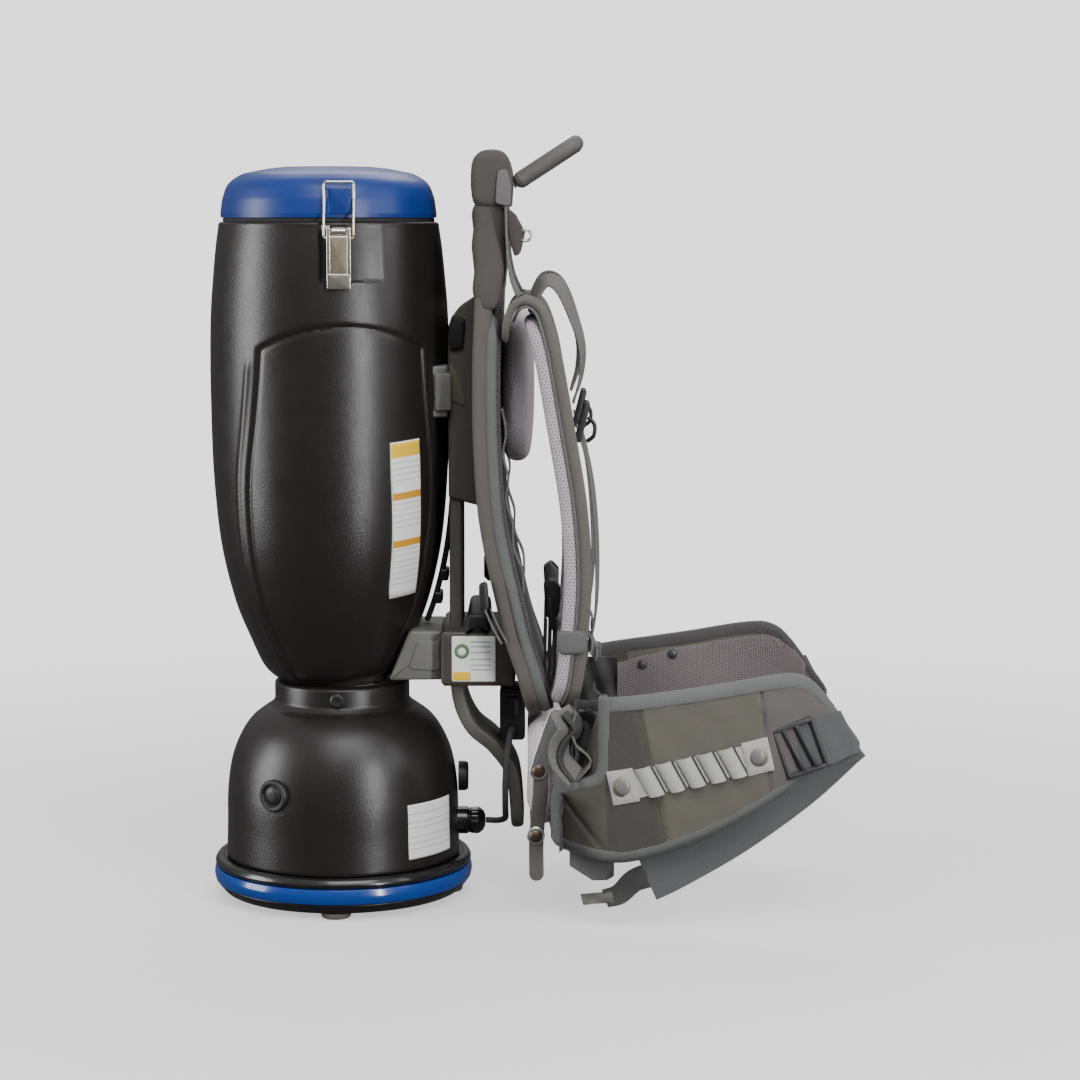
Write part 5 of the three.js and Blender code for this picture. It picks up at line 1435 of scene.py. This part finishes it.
def wing_rows(side):
    """One wing: rounded sections from the low to the high edge at each x, with grooves and quilting."""
    x = np.concatenate([186 + 8 * (1 - np.cos(np.linspace(0, np.pi / 2, 7)))[:-1],
                        np.linspace(194, 434, 120), 434 + 4 * np.sin(np.linspace(0, np.pi / 2, 5))[1:]])
    top, low = edge_z(TOP_EDGE, x), edge_z(LOW_EDGE, x)
    thick = WING_THICK * np.sqrt(np.clip(1 - (1 - np.clip((x - 185.5) / 8, 0, 1))**2, 0.02, 1))
    thick = thick * (1 - 0.5 * smoothstep(x, 400, 437)) * np.where(x > 437.5, 0.4, 1)
    shares = loop_shares(60, 8)
    sections = loops(shares, top - low, thick, thick / 2)
    z = (top + low)[:, None] / 2 + sections[..., 0]
    xx = notched(np.broadcast_to(x[:, None], z.shape), z)
    outer = shares[:, 2] * (np.abs(shares[:, 1]) < 1e-9)
    swell = (1 - shares[:, 0]**2)
    wave = np.sin(xx * 0.21 + z * 0.05) * np.sin(z * 0.13 - xx * 0.07)
    depth = np.where(outer > 0, 1.4 * swell - 2.2 * seam_groove(xx, z) + 0.5 * wave, 0)
    channel = np.abs(np.sin((z - 60) * np.pi / 34))
    depth = np.where(outer < 0, 1.2 * np.sqrt(channel) - 0.6, depth)
    y = WING_OUT - WING_THICK / 2 - belt_inset(xx) + sections[..., 1] + depth * np.sign(outer)
    return np.stack([xx, side * y, z], -1)


def edge_band_rows(side, edge, up, start, reach=10.5, lift=0.8, wall=1.6, end=436):
    """Tape folded over a wing's edge: a U of two walls and a half circle, carried along the edge."""
    x = np.linspace(start, end, 110)
    half = WING_THICK / 2 * (1 - 0.5 * smoothstep(x, 400, 437)) + lift
    turn = np.linspace(0, np.pi, 11)
    shares = np.concatenate([[-1, -0.6, -0.25], np.zeros(11), [-0.25, -0.6, -1]])
    cos = np.concatenate([np.ones(3), np.cos(turn), -np.ones(3)])
    sin = np.concatenate([np.zeros(3), np.sin(turn), np.zeros(3)])

    def layer(h):
        """One wall's section at each x, for half thicknesses h: away from the edge, and through the wing."""
        away = shares * (reach - h[:, None]) * (shares < 0) + h[:, None] * sin - h[:, None]
        return away, h[:, None] * cos

    outer, inner = layer(half), layer(half - wall)
    away = np.hstack([outer[0], inner[0][:, ::-1] - wall * 0.5])
    through = np.hstack([outer[1], inner[1][:, ::-1]])
    z = edge_z(edge, x)[:, None] + up * (away + lift)
    xx = np.broadcast_to(x[:, None], z.shape)
    y = WING_OUT - WING_THICK / 2 - belt_inset(xx) + through
    return np.stack([xx, side * y, z], -1)


def wing_cloth():
    """Belt cloth in five shades, divided by the wing's seam lines, with the same weave throughout."""
    f = Finish("belt panels", OLIVE, 0.85)
    x, z = f.part(f.object, "X"), f.part(f.object, "Z")

    def beyond(p, q):
        """1 where a point lies on the rear or lower side of the line from p to q, otherwise 0."""
        (x0, z0), (x1, z1) = p, q
        a, b = (z1 - z0), -(x1 - x0)
        c = a * (x0 * MM + AXIS_X) + b * z0 * MM
        value = f.maths("MULTIPLY_ADD", x, a, f.maths("MULTIPLY", z, b))
        return f.maths("GREATER_THAN", value, c)

    behind_first = beyond(*SEAMS[0])
    beyond_second = f.maths("SUBTRACT", 1.0, beyond(*SEAMS[1]))
    below_third = beyond(*SEAMS[2])
    tone = f.mix(behind_first, OLIVE, darker(BROWN_GREY, 0.66))
    tone = f.mix(beyond_second, tone, LILAC_GREY)
    tone = f.mix(beyond(*SEAMS[3]), tone, darker(OLIVE, 0.48))
    tone = f.mix(below_third, tone, darker(OLIVE, 0.36))
    weave = plain_weave(f, x, z, 1.1)
    cloud = f.noise(f.object, 16, 5, 0.6)
    speck = f.noise(f.object, 420, 3, 0.7)
    tone = f.mix(f.maths("MULTIPLY", cloud, 0.5), tone, darker(BROWN_GREY, 0.7))
    tone = f.mix(f.maths("MULTIPLY", weave, 0.35), tone, darker(BROWN_GREY, 0.4))
    f.paint(f.mix(f.maths("MULTIPLY", speck, 0.2), tone, darker(OLIVE, 1.8)))
    f.gloss(speck, 0.7, 0.92)
    f.set("Sheen Weight", 0.06)
    f.set("Sheen Roughness", 0.45)
    folds = f.bump(f.noise(f.mapped(f.object, (30, 30, 60)), 1.0, 3), 0.35, 0.003)
    f.bump(f.maths("MULTIPLY_ADD", speck, 0.4, weave), 0.7, 0.00025, folds)
    return f.material


def rack_place(u, v, out, side):
    """A point of the tool rack: u along it, v up it, out from the belt, on the belt's curved face."""
    tilt = math.radians(13)
    x = 296 + u * math.cos(tilt) - v * math.sin(tilt)
    z = 139 + u * math.sin(tilt) + v * math.cos(tilt)
    return np.stack([x, side * (WING_OUT + 1.4 - belt_inset(x) + out), z], -1)


NOTCH_ROUTE = [[226, 199], [226, 165], [225.5, 140], [220, 128.5], [206, 122.5], [193, 117.5], [187.8, 110],
               [187, 92], [188, 68]]


def sheet_rows(points, thickness):
    """A thin closed sheet: a grid of points [row, column] and the same grid set in along y."""
    side = np.sign(points[..., 1].mean())
    return np.concatenate([points, (points - [0, side * thickness, 0])[:, ::-1]], 1)


def make_belt():
    """Both wings of the hip belt with everything that is sewn to them."""
    panels = wing_cloth()
    for name, side in SIDES:
        wing = Body().shell(wing_rows(side)).build(f"wing_{name}", panels, slot="harness_grey",
                                                   replaces=[f"hip_wing_{name}"])
        crease(wing, 60)
        make_wing_tape(name, side)
        make_wing_crumple(name, side)
        make_wing_lining(name, side)
        make_rack(name, side)
        make_slider(name, side)
        make_belt_web(name, side)


def make_wing_tape(name, side):
    """Tape folded over a wing's upper and lower edge, dark along its middle, and round its notch."""
    tape = Body()
    for edge, up, start in ((TOP_EDGE, 1, WING_REAR + NOTCH_DEPTH + 3), (LOW_EDGE, -1, WING_REAR + 4)):
        band = edge_band_rows(side, edge, up, start)
        count = band.shape[1]
        inside = np.abs(np.arange(count) - count / 2) < count / 4
        tape.shell(band, slot=inside.astype(int))
    rim = strap_rows(NOTCH_ROUTE, 20, 10, 4.4, tip=3, count=110)
    rim[..., 1] = side * (WING_OUT - WING_THICK / 2 - belt_inset(rim[..., 0])) + rim[..., 1]
    tape.shell(rim)
    crease(tape.build(f"wing_tape_{name}", [binding_tape, dark_tape], slot="webbing_grey"), 60)


def make_wing_crumple(name, side):
    """The loose cloth in a wing's notch: five folds, a dark sheet behind them, and the wing's root."""
    crumple = Body()
    for k, (dx, bend) in enumerate(((-6, 4), (0, 7), (7, -7), (14, 5), (20, -4))):
        route = [[195 + dx, 186 - k], [198 + dx + bend, 170], [195 + dx, 156], [200 + dx - bend, 143],
                 [203, 128]]
        crumple.shell(strap_rows(route, 22, 2.2, 0.9, side * (WING_OUT - 24 - 4 * k), roll=0.9 - 0.5 * k,
                                 count=50), slot=k % 2)
    x, z = np.meshgrid(np.linspace(201, 244, 30), np.linspace(84, 190, 60), indexing="ij")
    fold = 3 * np.sin(x * 0.32 + z * 0.11) + 2 * np.sin(z * 0.19 - x * 0.07)
    crumple.shell(sheet_rows(np.stack([x, side * (112 + fold), z], -1), 2), slot=1)
    route = spline([[181, 84], [187, 104], [191, 126], [190, 148]], 30)
    y, z = np.meshgrid(route[:, 1], np.linspace(68, 114, 16), indexing="ij")
    x = route[:, :1] + 1.5 * np.sin(y * 0.25) * np.sin(z * 0.2)
    crumple.shell(sheet_rows(np.stack([x, side * y, z], -1), 7), slot=1)
    crease(crumple.build(f"wing_crumple_{name}", [strap_webbing, dark_web], slot="webbing_grey"), 60)


def make_wing_lining(name, side):
    """The bulging mesh on a wing's inner face, and the dark studs pressed through it."""
    x = np.linspace(196, 418, 60)
    share = np.linspace(0.14, 0.9, 24)
    top, low = edge_z(TOP_EDGE, x), edge_z(LOW_EDGE, x)
    z = low[:, None] + (top - low)[:, None] * share
    xx = notched(np.broadcast_to(x[:, None], z.shape), z)
    inner = WING_OUT - WING_THICK - belt_inset(xx)
    bulge = 2.2 * np.sqrt(np.clip(np.sin(np.pi * (share - 0.14) / 0.76), 0, 1)) * np.ones_like(xx)
    face = np.stack([xx, side * (inner - bulge), z], -1)
    back = np.stack([xx, side * (inner + 1.5), z], -1)
    lining = Body().shell(np.concatenate([face, back[:, ::-1]], 1))
    lining.build(f"wing_lining_{name}", lining_mesh, slot="mesh_pale")
    studs = Body()
    for x0, z0 in ((268, 178), (296, 188), (330, 150), (240, 150)):
        y0 = WING_OUT - WING_THICK - belt_inset(np.array(x0)) - 2.2
        studs.shell(dome_rows((x0, side * y0, z0), 4.4, 1.8, -side))
    crease(studs.build(f"wing_studs_{name}", dark_plastic, slot="gloss_black"), 50)


RACK_TABS = (-56.5, 56.5)


def make_rack(name, side):
    """The tool rack: a bright backing, five slanted raised loops with a painted shadow strip beside each, end
    tabs and their press buttons.
    """
    rack = Body()
    u, v = np.meshgrid(np.linspace(-65, 65, 60), np.linspace(-11.5, 11.5, 8), indexing="ij")
    rack.shell(sheet_rows(rack_place(u, v, 0.6, side), 1.6))
    for middle in RACK_TABS:
        u, v = np.meshgrid(np.linspace(middle - 11, middle + 11, 12), np.linspace(-14, 14, 12), indexing="ij")
        corner = np.maximum(np.abs(u - middle) / 11, np.abs(v) / 14)
        rack.shell(sheet_rows(rack_place(u, v, 2.4 - 1.2 * corner**8, side), 2.4))
    lean = -0.28
    for middle in np.linspace(-34.5, 34.5, 5):
        t, v = np.meshgrid(np.linspace(-1, 1, 15), np.linspace(-12.8, 12.8, 9), indexing="ij")
        out = 1.4 + 4.2 * (1 - t**2)**0.7
        rack.shell(sheet_rows(rack_place(middle + 6.6 * t + lean * v, v, out, side), 1.2))
        # Painted shadow: a thin dark strip flat on the backing along one side of each loop.
        v, shadow_across = np.meshgrid(np.linspace(-12.5, 12.5, 9), [-0.7, 0.7], indexing="ij")
        rack.shell(sheet_rows(rack_place(middle + 7.6 + lean * v + shadow_across, v, 1.0, side), 1.0), slot=1)
    for middle in RACK_TABS:
        place = rack_place(np.array(middle), np.array(0.0), 2.0, side)
        rack.shell(dome_rows(place, 8.4, 1.5, side), slot=2)
        rack.shell(dome_rows(place + [0, side * 1.2, 0], 6.4, 1.8, side), slot=3)
    crease(rack.build(f"rack_{name}", [rack_foil, dark_plastic, dull_nickel, button_plastic],
                      slot="rack_silver", replaces=[f"tool_rack_{name}"]), 40)


SLIDER_X, SLIDER_Z, SLIDER_TURN = 386, 158, 20
SLIDER_FRAME = (((-18, 18), (18, 22)), ((-18, -22), (18, -18)), ((-18, -22), (-14.5, 22)),
                ((14.5, -22), (18, 22)))


def make_slider(name, side):
    """The belt's tri-glide: a frame with two slanted bars in front of a piece of webbing."""
    body = Body()
    centre = np.array([SLIDER_X, SLIDER_Z])
    y0 = WING_OUT + 3.2 - float(belt_inset(np.array(SLIDER_X)))

    def add(outline, near, far, rim, slot=0):
        """A prism of the slider, turned with it, between two distances from its middle plane."""
        rows = prism_rows(outline, side * (y0 + near), side * (y0 + far), rim)
        body.shell(turned_about(rows, centre, SLIDER_TURN), slot=slot)

    for low, high in SLIDER_FRAME:
        add(box_outline(centre + low, centre + high, 1.8), -2, 2.4, 1.2)
    for u in (-5.5, 5.5):
        add(fillet(centre + [[u - 4.5, 19], [u - 0.6, 19], [u + 4.5, -19], [u + 0.6, -19]], 1), -1, 3.4, 1.2)
    add(box_outline(centre - [16, 20], centre + [16, 20], 2), -2.6, -1.4, 0.4, slot=1)
    crease(body.build(f"slider_{name}", [dark_plastic, belt_web], slot="gloss_black",
                      replaces=[f"belt_slider_{name}"]), 50)


WEB_OUT = 140.7


def make_belt_web(name, side):
    """The webbing that hangs below a wing with its tail and end, the sheet at the tip, and a loop."""
    web = Body()

    def hang(route, width, count=40):
        """A rippled sheet along a route in x and z, of one width or of widths spread evenly along it."""
        line = spline(route, count)
        normal = normals_2d(line, closed=False)
        t = np.linspace(-0.5, 0.5, 9)
        wide = np.interp(np.linspace(0, 1, count), np.linspace(0, 1, np.size(width)), np.ravel(width))
        x = line[:, :1] + normal[:, :1] * wide[:, None] * t
        z = line[:, 1:] + normal[:, 1:] * wide[:, None] * t
        ripple = 1.3 * np.sin(np.linspace(0, 7, count))[:, None] * np.cos(3 * t)
        y = side * (WEB_OUT - belt_inset(np.minimum(x, 437)) + ripple)
        return sheet_rows(np.stack([x, y, z], -1), 2.0)

    run = [[436, 154], [425, 145], [394, 121], [358, 97], [324, 76], [283, 54], [262, 44.5]]
    web.shell(hang(run, [26, 38]))
    web.shell(hang([[266, 49], [251, 43], [239, 31], [227, 26]], [21, 15]), slot=1)
    web.shell(hang([[234, 28], [221, 25.5], [208, 22]], [9, 9], 8), slot=2)
    patch = np.linspace([[390, 180], [410, 142]], [[420, 187], [438.5, 152]], 16)
    patch = patch[:, :1] + (patch[:, 1:] - patch[:, :1]) * np.linspace(0, 1, 9)[None, :, None]
    rise = 2.2 + 0.7 * np.sin(patch[..., 0] * 0.35) * np.sin(patch[..., 1] * 0.22)
    y = side * (WING_OUT - belt_inset(patch[..., 0]) + rise)
    web.shell(sheet_rows(np.stack([patch[..., 0], y, patch[..., 1]], -1), 1.6))
    crease(web.build(f"belt_web_{name}", [belt_web, dark_web, frame_plastic], slot="webbing_grey",
                     replaces=[f"belt_webbing_{name}"]), 60)
    loop = fillet([[197.5, 68], [235, 68], [235, 42], [229, 38.6], [217, 38.4], [197.5, 51]], 2.5)
    loop = Body().shell(prism_rows(loop, side * 118, side * 120.4, 0.8))
    crease(loop.build(f"belt_loop_{name}", keeper_web, slot="webbing_grey"), 60)


def label_rows(radius_at, centre_x, angle, z, width, height, tilt, side=RIGHT):
    """A thin sticker wrapped on a turned skin: a tilted rectangle of arc and height, 0.3 mm thick."""
    a, b = np.meshgrid(np.linspace(-0.5, 0.5, 26), np.linspace(-0.5, 0.5, 30), indexing="ij")
    a, b = a * width, b * height
    t = math.radians(tilt)
    arc, up = a * math.cos(t) - b * math.sin(t), a * math.sin(t) + b * math.cos(t)
    zz = z + up

    def layer(lift):
        """The rectangle laid on the skin, lifted off it."""
        r = radius_at(zz) + lift
        turn = math.radians(angle) + arc / r
        return np.stack([centre_x + r * np.cos(turn), side * r * np.sin(turn), zz], -1)

    return np.concatenate([layer(0.35), layer(-0.6)[:, ::-1]], 1)


def label_paper(name, bands, rules, tint=(0.86, 0.86, 0.85)):
    """Printed label stock: white, with plain coloured bands and pale grey bars, no lettering."""
    f = Finish(name, tint, 0.42)
    v = f.part(f.uv, "Y")
    tone = f.mix(f.noise(f.object, 60, 3), darker(tint, 0.93), tint)

    def inside(low, high):
        """1 between two heights of the label, otherwise 0."""
        return f.maths("MULTIPLY", f.maths("GREATER_THAN", v, low * MM), f.maths("LESS_THAN", v, high * MM))

    for low, high in rules:
        tone = f.mix(f.maths("MULTIPLY", inside(low, high), 0.5), tone, (0.35, 0.36, 0.37))
    for low, high, colour in bands:
        tone = f.mix(inside(low, high), tone, colour)
    f.paint(tone)
    f.bump(f.noise(f.object, 300, 2), 0.2, 0.0001)
    return f.material


def make_labels():
    """Blank generic stickers on the hopper, the housing and the bracket box: bars and bands, no lettering."""
    rules = [(z, z + 1.2) for z in np.arange(12, 126, 5.0) if not (44 < z < 58 or 86 < z < 98)]
    bands = [(122, 134, YELLOW), (86, 92, AMBER), (45, 51, AMBER)]
    tall = Body().shell(label_rows(hopper_radius, HOPPER_X, 45, 337, 31, 134, -4.5))
    tall.build("hopper_label", label_paper("tall label", bands, rules), slot="mesh_pale")
    rules = [(z, z + 1.2) for z in (8, 13, 18, 26, 31, 38)]
    low = Body().shell(label_rows(bell_radius, 0, 37, 70, 56, 47, 0))
    low.build("housing_label", label_paper("pale label", [], rules), slot="mesh_pale")
    box = Body().shell(prism_rows(box_outline((98, 197), (135, 236), 1.5), -60.2, -60.6, 0.05))
    box.shell(prism_rows(box_outline((98.6, 197.6), (114, 205), 1), -60.5, -60.9, 0.05), slot=1)
    ring = turned_rows([[6.4, -1], [6.4, 0.35], [3.4, 0.35], [3.4, -1]], sides=40)
    box.shell(facing(ring, -math.pi / 2, 60.5, 0) + np.array([106.5, 0, 223]), wrap_rows=True, slot=2)
    for z in (231, 227, 222, 216, 211, 207):
        box.shell(prism_rows(box_outline((114, z - 0.6), (131, z + 0.6), 0.3), -60.5, -60.8, 0.05), slot=3)
    box.build("box_label", [label_paper("box label", [], []), smooth_plastic("label yellow", YELLOW, 0.4),
                            smooth_plastic("label green", srgb(98, 128, 92), 0.4),
                            smooth_plastic("label grey", srgb(165, 172, 176), 0.4)], slot="mesh_pale")


def finish_inner_parts():
    """Finishes for the carried-over parts inside the motor housing and the canister."""
    for node, material in INNER_FINISHES:
        mesh = bpy.data.objects[node].data
        mesh.materials.clear()
        mesh.materials.append(material)


make_camera()
make_lead()
make_light()
make_world()
make_floor()
make_base()
make_housing()
make_fittings()
make_hopper()
make_lid()
make_latches()
make_frame()
make_switch()
make_panel()
make_neck()
make_sleeve()
make_pads()
make_handle()
make_straps()
make_belt()
make_labels()
finish_inner_parts()
